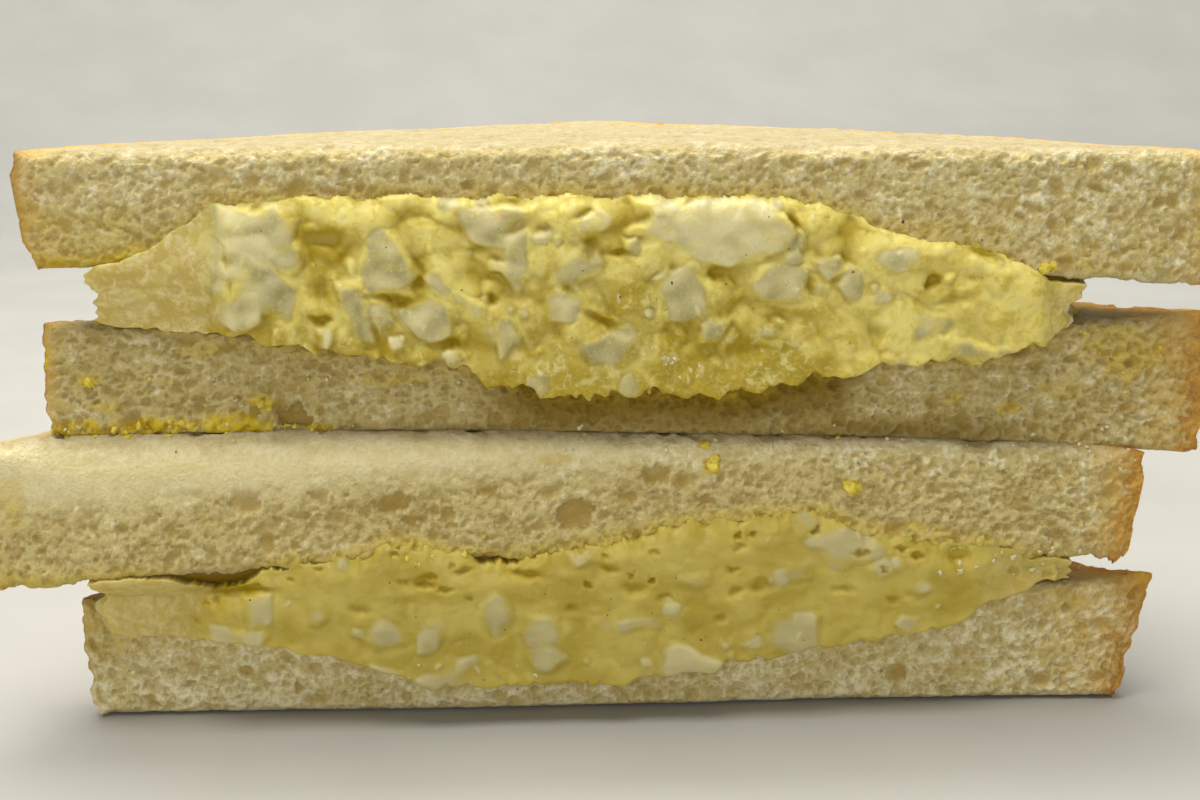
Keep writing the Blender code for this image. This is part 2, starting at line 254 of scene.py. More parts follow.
# ---------------------------------------------------------------- mesh from rings of rows
class Rows:
    """Closed surface woven through rows of points. A row has base columns divided by 1, 2, 4 or 8."""

    def __init__(self):
        self.points, self.extra, self.count = [], [], []

    def add(self, points, **extra):
        self.points.append(points)
        self.extra.append(extra)
        self.count.append(len(points))

    def build(self, name, names, sides):
        """sides gives two opposite runs of rows, between which the two ends are closed."""
        starts = np.concatenate([[0], np.cumsum(self.count)])
        verts = np.concatenate(self.points)
        tris, quads = [], []
        n = len(self.points)
        for k in range(n):
            m = (k + 1) % n
            a, b, sa, sb = self.count[k] - 1, self.count[m] - 1, starts[k], starts[m]
            if a == b:
                i = np.arange(a)
                quads.append(np.stack([sa + i, sa + i + 1, sb + i + 1, sb + i], 1))
            elif a == 2 * b:
                i = np.arange(b)
                tris.append(np.stack([sa + 2 * i, sa + 2 * i + 1, sb + i], 1))
                tris.append(np.stack([sa + 2 * i + 1, sb + i + 1, sb + i], 1))
                tris.append(np.stack([sa + 2 * i + 1, sa + 2 * i + 2, sb + i + 1], 1))
            elif b == 2 * a:
                i = np.arange(a)
                tris.append(np.stack([sa + i, sb + 2 * i + 1, sb + 2 * i], 1))
                tris.append(np.stack([sa + i, sa + i + 1, sb + 2 * i + 1], 1))
                tris.append(np.stack([sa + i + 1, sb + 2 * i + 2, sb + 2 * i + 1], 1))
            else:
                raise ValueError("rows %d and %d do not match: %d %d" % (k, m, a, b))
        quads = np.concatenate(quads)
        tris = np.concatenate(tris) if tris else np.zeros((0, 3), int)
        first = starts[:-1]
        last = starts[1:] - 1
        (a0, a1), (b0, b1) = sides
        caps, strip = [], []
        for ends, flip in ((first, True), (last, False)):
            p, q = ends[a0:a1], ends[b0:b1][::-1]
            i = j = 0
            while i < len(p) - 1 or j < len(q) - 1:
                if j == len(q) - 1 or (i < len(p) - 1 and (i + 1) * (len(q) - 1) <= (j + 1) * (len(p) - 1)):
                    t = (p[i], p[i + 1], q[j])
                    i += 1
                else:
                    t = (p[i], q[j + 1], q[j])
                    j += 1
                strip.append(t[::-1] if flip else t)
            for rest in (ends[a1 - 1:b0 + 1], np.concatenate([ends[b1 - 1:], ends[:a0 + 1]])):
                caps.append(rest[::-1] if flip else rest)
        tris = np.concatenate([tris, np.array(strip)])
        loops = np.concatenate([quads.ravel(), tris.ravel()] + caps).astype(np.int32)
        totals = np.concatenate([np.full(len(quads), 4), np.full(len(tris), 3), [len(c) for c in caps]]).astype(np.int32)
        begin = np.concatenate([[0], np.cumsum(totals)[:-1]]).astype(np.int32)
        mesh = bpy.data.meshes.new(name)
        mesh.vertices.add(len(verts))
        mesh.vertices.foreach_set("co", ((verts + SHIFT) * MM).astype(np.float32).ravel())
        mesh.loops.add(len(loops))
        mesh.loops.foreach_set("vertex_index", loops)
        mesh.polygons.add(len(totals))
        mesh.polygons.foreach_set("loop_start", begin)
        mesh.polygons.foreach_set("loop_total", totals)
        mesh.update(calc_edges=True)
        for key in names:
            values = np.concatenate([np.broadcast_to(e.get(key, 0.0), c) for e, c in zip(self.extra, self.count)]).astype(np.float32)
            mesh.attributes.new(key, "FLOAT", "POINT").data.foreach_set("value", values)
        mesh.shade_smooth()
        ob = bpy.data.objects.new(name, mesh)
        bpy.context.scene.collection.objects.link(ob)
        return ob


# ---------------------------------------------------------------- bread
def plan_fields(seed, cell=0.22):
    """Crumb of the wide faces of a slice, in plan."""
    f = Field(-90, 92, -4, 90, cell)
    rng = np.random.default_rng(seed)
    U = f.U + 0.45 * noise(f.U / 1.7, f.V / 1.7, seed + 1)
    V = f.V + 0.45 * noise(f.U / 1.7, f.V / 1.7, seed + 2)
    pit = f.blank()
    stamp_pits(f, pit, U, V, rng, 3200, (0.35, 0.9), (0.35, 0.6), 1.5)
    stamp_pits(f, pit, U, V, rng, 500, (0.8, 1.5), (0.35, 0.55), 1.5)
    stamp_pits(f, pit, U, V, rng, 60, (1.3, 2.2), (0.3, 0.45), 1.5)
    rough = 0.16 * fbm(f.U / 2.2, f.V / 2.2, seed + 5, 3) + 0.3 * noise(f.U / 19, f.V / 19, seed + 8)
    return f, pit, rough


def build_slice(name, seed, columns=560, face_rows=66, top=(70, 4), crust_rows=30, under=(34, 4), keys=(), stains=(), calm=None, torn=None, plan=None, slant=(0.0, 0.0), smear=None, rim=(1.0, 1.0), frayed=0.5, shade=0.0, soak=None, tuck=(1.1, 0.5), heel=1.0, lip=None, settle=0.0, pale=(0.0, 0.0), bold=1.0):
    spec = SLICES[name]
    under_z, over_z = SURFACES[name]
    lo, hi = spec["tips"]
    s, px, py, pnx, pny = crust_path(hi - lo, spec["wave"])
    t = np.linspace(0, 1, columns + 1)
    st = 0.9 + (s[-1] - 1.8) * t
    cx, cy = np.interp(st, s, px) + 0.5 * (lo + hi), np.interp(st, s, py)
    nx, ny = np.interp(st, s, pnx), np.interp(st, s, pny)
    fx = lo + 0.12 + (hi - lo - 0.24) * t
    fy = face_y(spec, fx)
    cy = cy + face_y(spec, cx)
    depth = np.hypot(cx - fx, cy - fy)
    dx, dy = (cx - fx) / depth, (cy - fy) / depth
    ea, eb = spec["top_edge"] if lip is None else lip
    share = np.clip((fx - lo) / (hi - lo), 0, 1)
    wavy = 0.35 * fbm(fx / 7.0, 0 * fx + seed, seed + 90, 3)
    r_up = np.minimum(ea + (eb - ea) * smooth(share) + wavy, 0.42 * depth)
    r_dn = np.minimum(heel * CUT_EDGE_RADIUS - 0.5 * heel * wavy, 0.42 * depth)
    r_cr = np.minimum(CRUST_EDGE_RADIUS, 0.42 * depth)
    # how much of a point's rise bends in at the two tips
    tip_left, tip_right = np.exp(-(fx - lo) / 4.0), np.exp(-(hi - fx) / 4.0)
    z_mid = 0.5 * (under_z(fx, fy) + over_z(fx, fy))
    z_half = 0.5 * (over_z(fx, fy) - under_z(fx, fy))

    def ends(points, c=slice(None)):
        """Leans and rounds the thin tips so that they aren't cut straight."""
        v = (points[:, 2] - z_mid[c]) / z_half[c]
        bite = 0.9 * noise(v * 1.7 + 3.0, 0 * v + seed * 0.37, seed + 91) + 0.7 * fbm(v * 4.0, 0 * v + 1.3, seed + 92, 4, 0.6)
        left = np.maximum(tuck[0] * np.abs(v) ** 3 + bite, 0)
        right = np.maximum(tuck[1] * np.abs(v) ** 3 + bite, 0)
        points[:, 0] += tip_left[c] * (left - slant[0] * 0.5 * (v - 1)) - tip_right[c] * (right - slant[1] * 0.5 * (v - 1))
        return points
    L1 = r_dn * math.pi / 2
    zb, zt = under_z(fx, fy) + r_dn, over_z(fx, fy) - r_up
    L2, L3 = zt - zb, r_up * math.pi / 2
    whole = L1 + L2 + L3
    calm_at_ends = smooth((t - 0.002) / 0.012) * smooth((0.998 - t) / 0.012)

    def arc_at(x, z):
        """Distance up the cut face's profile of a point at x, z on it."""
        i = np.clip(np.interp(x, fx, np.arange(columns + 1)), 0, columns).astype(int)
        flat = L1[i] + (z - zb[i])
        over = (z > zt[i])
        bend = L1[i] + L2[i] + r_up[i] * math.asin(min(1.0, max(0.0, (z - zt[i]) / r_up[i])))
        return bend if over else flat

    # crumb of the cut face, laid out by x and by distance up the face
    f = Field(lo - 1, hi + 1, -1, float(whole.max()) + 1.5, 0.1)
    rng = np.random.default_rng(seed)
    U = f.U + 0.40 * noise(f.U / 1.5, f.V / 1.5, seed + 1) + 0.16 * noise(f.U / 0.5, f.V / 0.5, seed + 3)
    V = f.V + 0.40 * noise(f.U / 1.5, f.V / 1.5, seed + 2) + 0.16 * noise(f.U / 0.5, f.V / 0.5, seed + 4)
    frill = 0.9 * fbm(f.U / 1.3, f.V / 1.3, seed + 31, 4, 0.65)
    frall = 0.9 * fbm(f.U / 1.3, f.V / 1.3, seed + 32, 4, 0.65)
    area = (hi - lo) * float(whole.max())
    pit = f.blank()
    stamp_pits(f, pit, U, V, rng, int(area * 1.5), (0.22, 0.46), (0.9, 1.6), 1.5)
    stamp_pits(f, pit, U, V, rng, int(area * 0.13), (0.45, 0.85), (0.7, 1.1), 1.7)
    stamp_pits(f, pit, U, V, rng, int(area * 0.008), (0.8, 1.5), (0.5, 0.75), 1.6)
    if calm is not None:
        pit *= 1 - calm(f.U, f.V)
    for k in keys:
        kx, kz = spot(k[0], k[1], float(face_y(spec, 0.0)))
        a, b = 0.5 * k[2] * PX, 0.5 * k[3] * PX
        press(f, pit, U + frill, V + frall, kx, arc_at(kx, kz), a, b, k[4] if len(k) > 4 else 0.0, (k[5] if len(k) > 5 else 0.75) * (a * b) ** 0.5, 0.4)
    rough = 0.13 * fbm(f.U / 1.6, f.V / 1.3, seed + 6, 3) + 0.45 * noise(f.U / 26, f.V / 12, seed + 7) + 0.16 * noise(f.U / 6, f.V / 5, seed + 9)
    if calm is not None:
        rough = rough * (1 - 0.6 * calm(f.U, f.V))
    if torn is not None:
        w = torn(f.U, f.V)
        flake = np.abs(fbm(f.U / 3.4 + 0.4 * noise(f.U / 5, f.V / 5, seed + 21), f.V / 1.9, seed + 11, 4, 0.6))
        rough = rough + w * (1.1 * (0.30 - flake) - 0.12)
    level = rough - pit
    # painted highlight: the raised crumb walls, painted paler in the material
    wall = np.clip((blur(level, 1) - blur(level, 12)) / 0.28, 0, 1)
    # the slice's shade offset is painted light and shade: it makes whole slices, or parts of them, lighter or darker
    tint = (shade(f.U, f.V) if callable(shade) else shade) + 0.5 * fbm(f.U / 9, f.V / 6, seed + 15, 3) + (0.55 + 0.7 * (torn(f.U, f.V) if torn is not None else 0.3)) * fbm(f.U / 2.1, f.V / 1.5, seed + 16, 4, 0.65)
    stain = f.blank()
    for k in stains:
        kx, kz = spot(k[0], k[1], float(face_y(spec, 0.0)))
        w = f.window(kx, arc_at(kx, kz), 1.6 * max(k[2], k[3]) * PX)
        if w is None:
            continue
        q = ((f.U[w] - kx) / (0.5 * k[2] * PX)) ** 2 + ((f.V[w] - arc_at(kx, kz)) / (0.5 * k[3] * PX)) ** 2
        edge = 0.55 * fbm(f.U[w] / 1.7, f.V[w] / 1.7, seed + 40, 4, 0.65)
        blot = smooth((1.15 - np.sqrt(q) + edge) / 0.45) * k[4]
        stain[w] = np.maximum(stain[w], blot)
        if len(k) > 5:
            rough[w] += k[5] * blot

    pf, ppit, prough = plan if plan is not None else plan_fields(seed + 500)

    def plan_out(x, y, pits=1.0):
        return pf.at(prough, x, y) - pits * pf.at(ppit, x, y), np.clip(pf.at(ppit, x, y) / 0.7, 0, 1)

    tip_gap = lambda x, y: np.minimum(((x - lo) - (y - fy_at(x))) / rim[0] + pale[0], ((hi - x) - (y - fy_at(x))) / rim[1] + pale[1]) / math.sqrt(2)
    fy_at = lambda x: face_y(spec, x)

    rows = Rows()
    # cut face with its soft lower and upper edges
    for k in range(face_rows):
        w = whole * k / (face_rows - 1)
        low, high = w < L1, w > L1 + L2
        a_low = np.where(low, w / r_dn, math.pi / 2)
        a_high = np.where(high, (w - L1 - L2) / r_up, 0.0)
        u = np.where(low, r_dn * (1 - np.sin(a_low)), np.where(high, r_up * (1 - np.cos(a_high)), 0.0))
        x, y = fx + dx * u, fy + dy * u
        v = np.clip((w - L1) / L2, 0, 1)
        z = np.where(low, under_z(x, y) + r_dn * (1 - np.cos(a_low)),
                     np.where(high, over_z(x, y) - r_up * (1 - np.sin(a_high)), zb + (w - L1)))
        y = y + np.where(low | high, 0.5 * spec["lean"] * np.where(high, -np.cos(a_high), np.sin(a_low)), spec["lean"] * (0.5 - v))
        n_y = -np.where(low, np.sin(a_low), np.where(high, np.cos(a_high), 1.0))
        n_z = np.where(low, -np.cos(a_low), np.where(high, np.sin(a_high), 0.0))
        hole, lift = f.at(pit, x, w), f.at(rough, x, w)
        rough_low = frayed * (1 + 1.4 * (torn(x, w) if torn is not None else 0.0))
        fray_low = rough_low * (0.8 * fbm(x / 3.3 + 0.9 * noise(x / 5.3, 0 * x + 2.2, seed + 97), 0 * x + 0.37, seed + 93, 4, 0.55) - 0.16)
        if settle:
            fray_low = 0.4 * np.clip(fray_low, -0.1, 0.6) - settle
        fray_low = fray_low * (1 - smooth((w - 0.6) / 3.0)) * calm_at_ends
        fray_top = 0.6 * frayed * fbm(x / 2.6, 0 * x + 4.7, seed + 94, 4, 0.6) * smooth((w - whole + 3.0) / 2.4) * (1 - smooth((a_high - 0.6) / 0.9)) * calm_at_ends
        if name == "lower_half_bottom_slice":
            fray_low = 0 * fray_low
        z = z + fray_low + fray_top
        flat_out, flat_pit = plan_out(x, y)
        m = np.where(high, smooth(a_high / (math.pi / 2)), np.where(low, 1 - smooth(a_low / (math.pi / 2)), 0.0))
        if under_z is not None:
            m_out = np.where(low, -0.05 - flat_pit * 0.1, flat_out)
        out = (bold * (lift - hole) * (1 - m) + m_out * m) * calm_at_ends
        rows.add(ends(np.stack([x, y + n_y * out, z + n_z * out], 1)),
                 pit=np.clip(hole / 0.9, 0, 1) * (1 - m) + flat_pit * m, crust=tip_gap(x, y), tint=f.at(tint, x, w),
                 stain=np.maximum(f.at(stain, x, w), smear(x, z) if smear is not None else 0.0),
                 calm=calm(x, w) * (1 - m) if calm is not None else 0.0 * x, wall=f.at(wall, x, w) * (1 - m),
                 soak=(soak(x, z) if soak is not None else 0.0), flat=m)
    # wide upper face
    def wide(count, step, surface, sign, forward):
        strides = [2] if step == 2 else [2, 4]
        order = strides + [step] * max(0, count - 2 * len(strides)) + strides[::-1]
        for i, stride in enumerate(order):
            q = (i + 1) / (len(order) + 1)
            if not forward:
                q = 1 - q
            c = slice(0, None, stride)
            edge = r_up[c] if sign > 0 else r_dn[c]
            u = edge + (depth[c] - edge - r_cr[c]) * q
            x, y = fx[c] + dx[c] * u, fy[c] + dy[c] * u
            out, hole = plan_out(x, y)
            if sign < 0:
                out = -0.05 - hole * 0.1
            out = out * calm_at_ends[c]
            # the -0.08 offset darkens the wide faces a little more, painted shade
            rows.add(ends(np.stack([x, y, surface(x, y) + sign * out], 1), c), pit=hole, crust=tip_gap(x, y), flat=1.0, tint=-0.08 + 0.22 * noise(x / 7, y / 7, seed + 17) + 0.30 * noise(x / 1.9, y / 1.9, seed + 18))

    wide(top[0], top[1], over_z, 1, True)
    # crust, from the upper corner down to the lower one
    side_z = (over_z(cx, cy) - r_cr) - (under_z(cx, cy) + 0.8 * r_cr)
    M1, M3 = r_cr * math.pi / 2, 0.8 * r_cr * math.pi / 2
    ring = M1 + side_z + M3
    for k in range(crust_rows):
        w = ring * k / (crust_rows - 1)
        high, low = w < M1, w > M1 + side_z
        a_high = np.where(high, w / r_cr, math.pi / 2)
        a_low = np.where(low, (w - M1 - side_z) / (0.8 * r_cr), 0.0)
        v = np.clip((w - M1) / side_z, 0, 1)
        bulge = CRUST_BULGE * 4 * v * (1 - v) * np.minimum(1, depth / 8)
        u = np.where(high, depth - r_cr * (1 - np.sin(a_high)), np.where(low, depth - r_cr * (1 - np.cos(a_low)), depth + bulge))
        x, y = fx + dx * u, fy + dy * u
        z = np.where(high, over_z(x, y) - r_cr * (1 - np.cos(a_high)),
                     np.where(low, under_z(x, y) + 0.8 * r_cr * (1 - np.sin(a_low)), over_z(cx, cy) - r_cr - (w - M1)))
        n_h = np.where(high, np.sin(a_high), np.where(low, np.cos(a_low), 1.0))
        n_z = np.where(high, np.cos(a_high), np.where(low, -np.sin(a_low), 0.0))
        wrinkle = 0.20 * fbm(st / 3.2, w / 2.4, seed + 60, 4, 0.55) + 0.32 * noise(st / 13, w / 9, seed + 63)
        crease = np.clip(0.16 - np.abs(noise(st / 7.0, w / 2.6, seed + 66)), 0, 1) * -0.9
        flat_out, flat_pit = plan_out(x, y)
        m = np.where(high, 1 - smooth(a_high / (math.pi / 2)), np.where(low, smooth(a_low / (math.pi / 2)), 0.0))
        m_out = np.where(low, -0.05 - flat_pit * 0.1, flat_out)
        out = ((wrinkle + crease) * (1 - m) + m_out * m) * calm_at_ends
        rows.add(ends(np.stack([x + nx * n_h * out, y + ny * n_h * out, z + n_z * out], 1)),
                 pit=flat_pit * m, crust=tip_gap(x, y) * m - 0.4 * (1 - m), side=1 - m, flat=m, tint=0.45 * fbm(st / 5.0, w / 4.0, seed + 19, 4, 0.6) + 0.5 * noise(st / 16.0, w / 8.0, seed + 20))
    wide(under[0], under[1], under_z, -1, False)
    ob = rows.build(name + "_bread", ("pit", "crust", "stain", "calm", "side", "wall", "tint", "soak", "flat"),
                    ((0, face_rows), (face_rows + top[0], face_rows + top[0] + crust_rows)))
    if name == "lower_half_bottom_slice":
        co = np.empty(len(ob.data.vertices) * 3, np.float32)
        ob.data.vertices.foreach_get("co", co)
        co[2::3] = np.maximum(co[2::3], 0.0)
        ob.data.vertices.foreach_set("co", co)
    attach(ob, "root")
    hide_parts(name)
    return ob


# ---------------------------------------------------------------- egg salad
def outline(table, x):
    t = np.array(table, float)
    i = np.clip(np.searchsorted(t[:, 0], x) - 1, 0, len(t) - 2)
    q = smooth(np.clip((x - t[i, 0]) / (t[i + 1, 0] - t[i, 0]), 0, 1))
    q = 0.5 * q + 0.5 * np.clip((x - t[i, 0]) / (t[i + 1, 0] - t[i, 0]), 0, 1)
    return t[i, 1] * (1 - q) + t[i + 1, 1] * q


def filling_plan(name, t):
    spec = FILLINGS[name]
    half = name.split("_")[0]
    above, below = SLICES[half + "_half_top_slice"], SLICES[half + "_half_bottom_slice"]
    lo, hi = max(above["tips"][0], below["tips"][0]), min(above["tips"][1], below["tips"][1])
    s, px, py, nx, ny = crust_path(hi - lo, 0.7)
    start = np.maximum(face_y(above, px + 0.5 * (lo + hi)), face_y(below, px + 0.5 * (lo + hi)))
    inset = spec["inset"] + 1.3 * np.sin(s / 6.1) + 0.9 * np.sin(s / 2.7 + 1.1)
    x = px - nx * inset + 0.5 * (lo + hi)
    y = py - ny * inset + start
    x0, x1 = spec["ends"]
    fx = x0 + (x1 - x0) * t
    keep = (y > start + 3.4) & (x > x0 - 3) & (x < x1 + 3)
    x, y = x[keep], y[keep]
    run = np.concatenate([[0], np.cumsum(np.hypot(np.diff(x), np.diff(y)))])
    return fx, np.interp(t * run[-1], run, x), np.interp(t * run[-1], run, y), t * run[-1]


def facets(du, dv, a, b, turn, r):
    """Distance inside the outline of a knife-cut piece, in mm (positive inside), and the share of the way to its rim."""
    c, s = math.cos(turn), math.sin(turn)
    p, q = du * c + dv * s, dv * c - du * s
    if a > 9:       # the largest slice of white: a lens, pointed on the left
        k = (p - 0.15 * a) / np.where(p < 0.15 * a, 1.15 * a, 0.85 * a)
        inside = 0.85 * (b * (1 - np.abs(k) ** np.where(k < 0, 1.5, 2.3)) - np.abs(q))
        return inside, 1 - inside / b
    n = int(r.integers(4, 8)) + (4 if a > 7 else 0)
    total = 0.0
    for i in range(n):
        t = 2 * math.pi * (i + r.uniform(-0.28, 0.28)) / n
        reach = math.hypot(a * math.cos(t), b * math.sin(t)) * r.uniform(0.88, 1.08)
        total = total + np.clip((p * math.cos(t) + q * math.sin(t)) / reach, 0, 4) ** 13
    rho = total ** (1 / 13)
    return (1 - rho) * min(a, b), rho


def build_filling(name, seed, tables, chunks, hollows, specks, columns=544, front_rows=132, lumps=260, tiny=130, bits=200, deepen=0.36, paste=0.0, plateau=(0.4, 0.6), drip=0.8, droop=1.2, depth=0.72, thin=lambda x: 0.0 * x, fringe=1.0, pockets=18, mellow=lambda x, z: 0.0 * x):
    half = name.split("_")[0]
    above, below = SLICES[half + "_half_top_slice"], SLICES[half + "_half_bottom_slice"]
    roof, floor = SURFACES[half + "_half_top_slice"][0], SURFACES[half + "_half_bottom_slice"][1]
    x0, x1 = FILLINGS[name]["ends"]
    top_table, low_table = tables
    z_hi = max(p[1] for p in top_table) + 2.2
    z_lo = min(p[1] for p in low_table) - 2.6
    f = Field(x0 - 1, x1 + 1, z_lo - 0.5, z_hi + 0.5, 0.1)
    rng = np.random.default_rng(seed)
    X, Z = f.U, f.V
    U = X + 0.5 * noise(X / 2.6, Z / 2.6, seed + 1) + 0.15 * noise(X / 0.8, Z / 0.8, seed + 3)
    V = Z + 0.5 * noise(X / 2.6, Z / 2.6, seed + 2) + 0.15 * noise(X / 0.8, Z / 0.8, seed + 4)
    xa = X[:, 0]
    ragged = fbm(X / 3.6, Z / 7.0, seed + 5, 4, 0.58) * (1 - 0.85 * thin(X))
    XS = X + 1.8 * noise(X / 5.1, Z / 9.0, seed + 60)
    spikes = 0.35 * np.clip(1 - np.abs(noise(X / 6.3, Z / 14.0, seed + 9)) * 3.4, 0, 1) * smooth(0.4 + 1.8 * noise(X / 9.0, 0 * Z, seed + 8))
    spikes += 1.0 * np.abs(noise(XS / 4.4, Z / 9.0, seed + 6)) + 0.24 * np.abs(fbm(XS / 1.5, Z / 5.0, seed + 7, 3, 0.5)) - 0.25
    teeth = 1.5 * drip * spikes * (1 - 0.8 * thin(X)) * (1 + 0.8 * smooth((X + 24) / 14.0) * smooth((44 - X) / 12.0))
    top_edge = outline(top_table, xa)[:, None] + 1.1 * fringe * ragged
    low_edge = outline(low_table, xa)[:, None] - 1.0 * fbm(X / 4.0, Z / 5.0, seed + 5, 3, 0.5) * (0.5 + 0.5 * drip) - teeth + 0.9 * droop - 1.8 * thin(X)

    # relief: soft lumps pressed against each other, flattened where they met something flat
    lump = -2.0 + 0.5 * noise(X / 3.1, Z / 2.4, seed + 10)

    def heap(count, size, rise, drop):
        for _ in range(count):
            u, v = rng.uniform(x0, x1), rng.uniform(z_lo, z_hi)
            r = size[0] * ((size[1] / size[0]) ** rng.random())
            a, b = r * rng.uniform(0.9, 1.5), r * rng.uniform(0.65, 1.0)
            w = f.window(u, v, 1.6 * a)
            if w is None:
                continue
            turn = rng.normal(0, 0.6)
            c, s = math.cos(turn), math.sin(turn)
            du, dv = U[w] - u, V[w] - v
            q = ((du * c + dv * s) / a) ** 2 + ((dv * c - du * s) / b) ** 2
            lump[w] = np.maximum(lump[w], rng.uniform(*rise) - drop * r * q)

    heap(lumps * 2, (1.1, 2.4), (-1.6, -0.7), 0.8)
    heap(lumps, (2.0, 5.2), (-0.9, 0.35), 0.5)
    heap(lumps // 2, (0.6, 1.3), (-0.9, -0.05), 1.1)
    lump = blur(lump, 2)
    lump = -np.log1p(np.exp(-2.6 * lump)) / 2.6     # soft ceiling
    lump *= depth * (1 - 0.65 * mellow(X, Z))
    relief = (1 - paste) * lump + paste * (-0.25 + 0.22 * noise(X / 9, Z / 6, seed + 13) + 0.14 * noise(X / 3.4, Z / 2.6, seed + 14))
    relief += 0.16 * noise(X / 13, Z / 9, seed + 12) + (0.11 - 0.06 * paste) * fbm(X / 1.7, Z / 1.4, seed + 15, 4, 0.6)
    white = f.blank()
    tone = f.blank()
    rim = f.blank()
    coat_field = fbm(X / 5.0, Z / 3.2, seed + 17, 4, 0.6)

    def chunk(u, v, a, b, turn, rise, index, coat=0.5, light=0.0, spread=1.0):
        r = np.random.default_rng(seed * 977 + index)
        w = f.window(u, v, 1.5 * max(a, b) + 1.2)
        if w is None:
            return
        inside, rho = facets(0.55 * (X[w] - u) + 0.45 * (U[w] - u), 0.55 * (Z[w] - v) + 0.45 * (V[w] - v), a, b, turn, r)
        veil = smooth(0.5 + 1.5 * noise(X[w] / 4.5 + index, Z[w] / 4.5, seed + 34))       # 0 bare edge, 1 edge sunk in the paste
        mask = smooth((inside - 0.45 * veil + 0.18) / (0.36 + 1.1 * veil))
        flat = smooth((inside + 0.35) / (0.7 + 0.6 * veil))
        tilt = r.normal(0, 0.045, 2)
        level = 0.65 * rise - 0.08 + tilt[0] * (X[w] - u) + tilt[1] * (Z[w] - v) - 0.20 * np.clip(rho, 0, 1.2) ** 3 + 0.16 * noise(X[w] / 2.6, Z[w] / 2.2, seed + 36)
        level = np.where(white[w] > 0.5, np.maximum(level, relief[w]), level)
        alone = 1 - np.clip(white[w] * 1.4, 0, 1)
        relief[w] = relief[w] * (1 - flat) + level * flat
        groove = np.exp(-((inside + 0.10) / 0.24) ** 2)
        relief[w] -= 0.22 * (1 - paste) * groove * alone * (1 - veil) * smooth(0.4 + 1.3 * noise(X[w] / 3, Z[w] / 3, seed + 33))
        streak = 1 - coat * smooth((coat_field[w] - 0.10) / 0.35)
        white[w] = np.maximum(white[w] * (1 - mask), mask * streak)
        tone[w] = tone[w] * (1 - mask) + mask * np.clip(light + spread * r.random() + 0.7 * noise(X[w] / 3.0, Z[w] / 2.4, seed + 37), 0, 1)
        # painted highlight: a band round each white's edge, painted paler in the material
        rim[w] = np.maximum(rim[w] * (1 - mask), np.exp(-((inside + 0.42) / 0.40) ** 2) * (0.35 + 0.65 * veil) * alone)

    index = 0
    for _ in range(tiny):
        u = rng.uniform(x0 + 3, x1 - 2)
        v = rng.uniform(z_lo + 1, z_hi - 1)
        if rng.random() < mellow(np.array([u]), np.array([v]))[0]:
            continue
        r = 0.40 * (3.6 ** rng.random())
        chunk(u, v, r * rng.uniform(1, 1.7), r, rng.uniform(-1.5, 1.5), rng.uniform(-0.25, 0.15), 1000 + index, 0.7)
        index += 1
    mid = 0.5 * (sum(plateau))
    for k in chunks:
        kx, kz = spot(k[0], k[1], mid)
        index += 1
        rank = float(np.clip((kz - 0.5 * (z_lo + z_hi)) / (0.5 * (z_hi - z_lo)), -0.5, 1))
        bright = 0.75 if k[2] > 100 else 0.16 + 0.34 * rank + 0.55 * float(smooth((-42.5 - kx) / 2.0)) * (1 - paste)
        chunk(kx, kz, 0.5 * k[2] * PX, 0.5 * k[3] * PX, math.radians(k[4]), k[5], index, 0.6 if rank > 0.5 and k[2] < 100 and kx > -42 else 0.35, bright, 0.35)
    for k in hollows:
        kx, kz = spot(k[0], k[1], mid)
        a, b = 0.5 * k[2] * PX, 0.5 * k[3] * PX
        w = f.window(kx, kz, 2.4 * max(a, b))
        if w is None:
            continue
        c, s = math.cos(math.radians(k[4])), math.sin(math.radians(k[4]))
        du, dv = U[w] - kx, V[w] - kz
        q = ((du * c + dv * s) / a) ** 2 + ((dv * c - du * s) / b) ** 2
        dip = 0.8 * k[5] * np.exp(-q ** 1.15)
        relief[w] -= dip
        white[w] *= 1 - 0.7 * np.exp(-q)
    # pockets along the line where the filling meets the slice above
    pocket = f.blank()
    for _ in range(pockets):
        u = rng.uniform(x0 + 6, x1 - 4)
        v = float(outline(top_table, np.array([u]))[0]) - rng.uniform(-0.2, 2.6) - 5.0 * max(0.0, rng.uniform(-1.0, 1.0))
        a, b = 0.35 * 3.0 ** rng.random(), rng.uniform(0.3, 0.6)
        w = f.window(u, v, 2.6 * a)
        if w is None:
            continue
        du, dv = X[w] - u + 0.4 * noise(X[w] / 0.8, Z[w] / 0.8, seed + 44), Z[w] - v + 0.4 * noise(X[w] / 0.8, Z[w] / 0.8, seed + 45)
        q = (du / a) ** 2 + (dv / b) ** 2
        relief[w] -= rng.uniform(0.4, 1.1) * np.exp(-q ** 1.5)
        pocket[w] = np.maximum(pocket[w], rng.uniform(0.5, 1.0) * np.exp(-q ** 2))
        white[w] *= 1 - 0.7 * np.exp(-q)
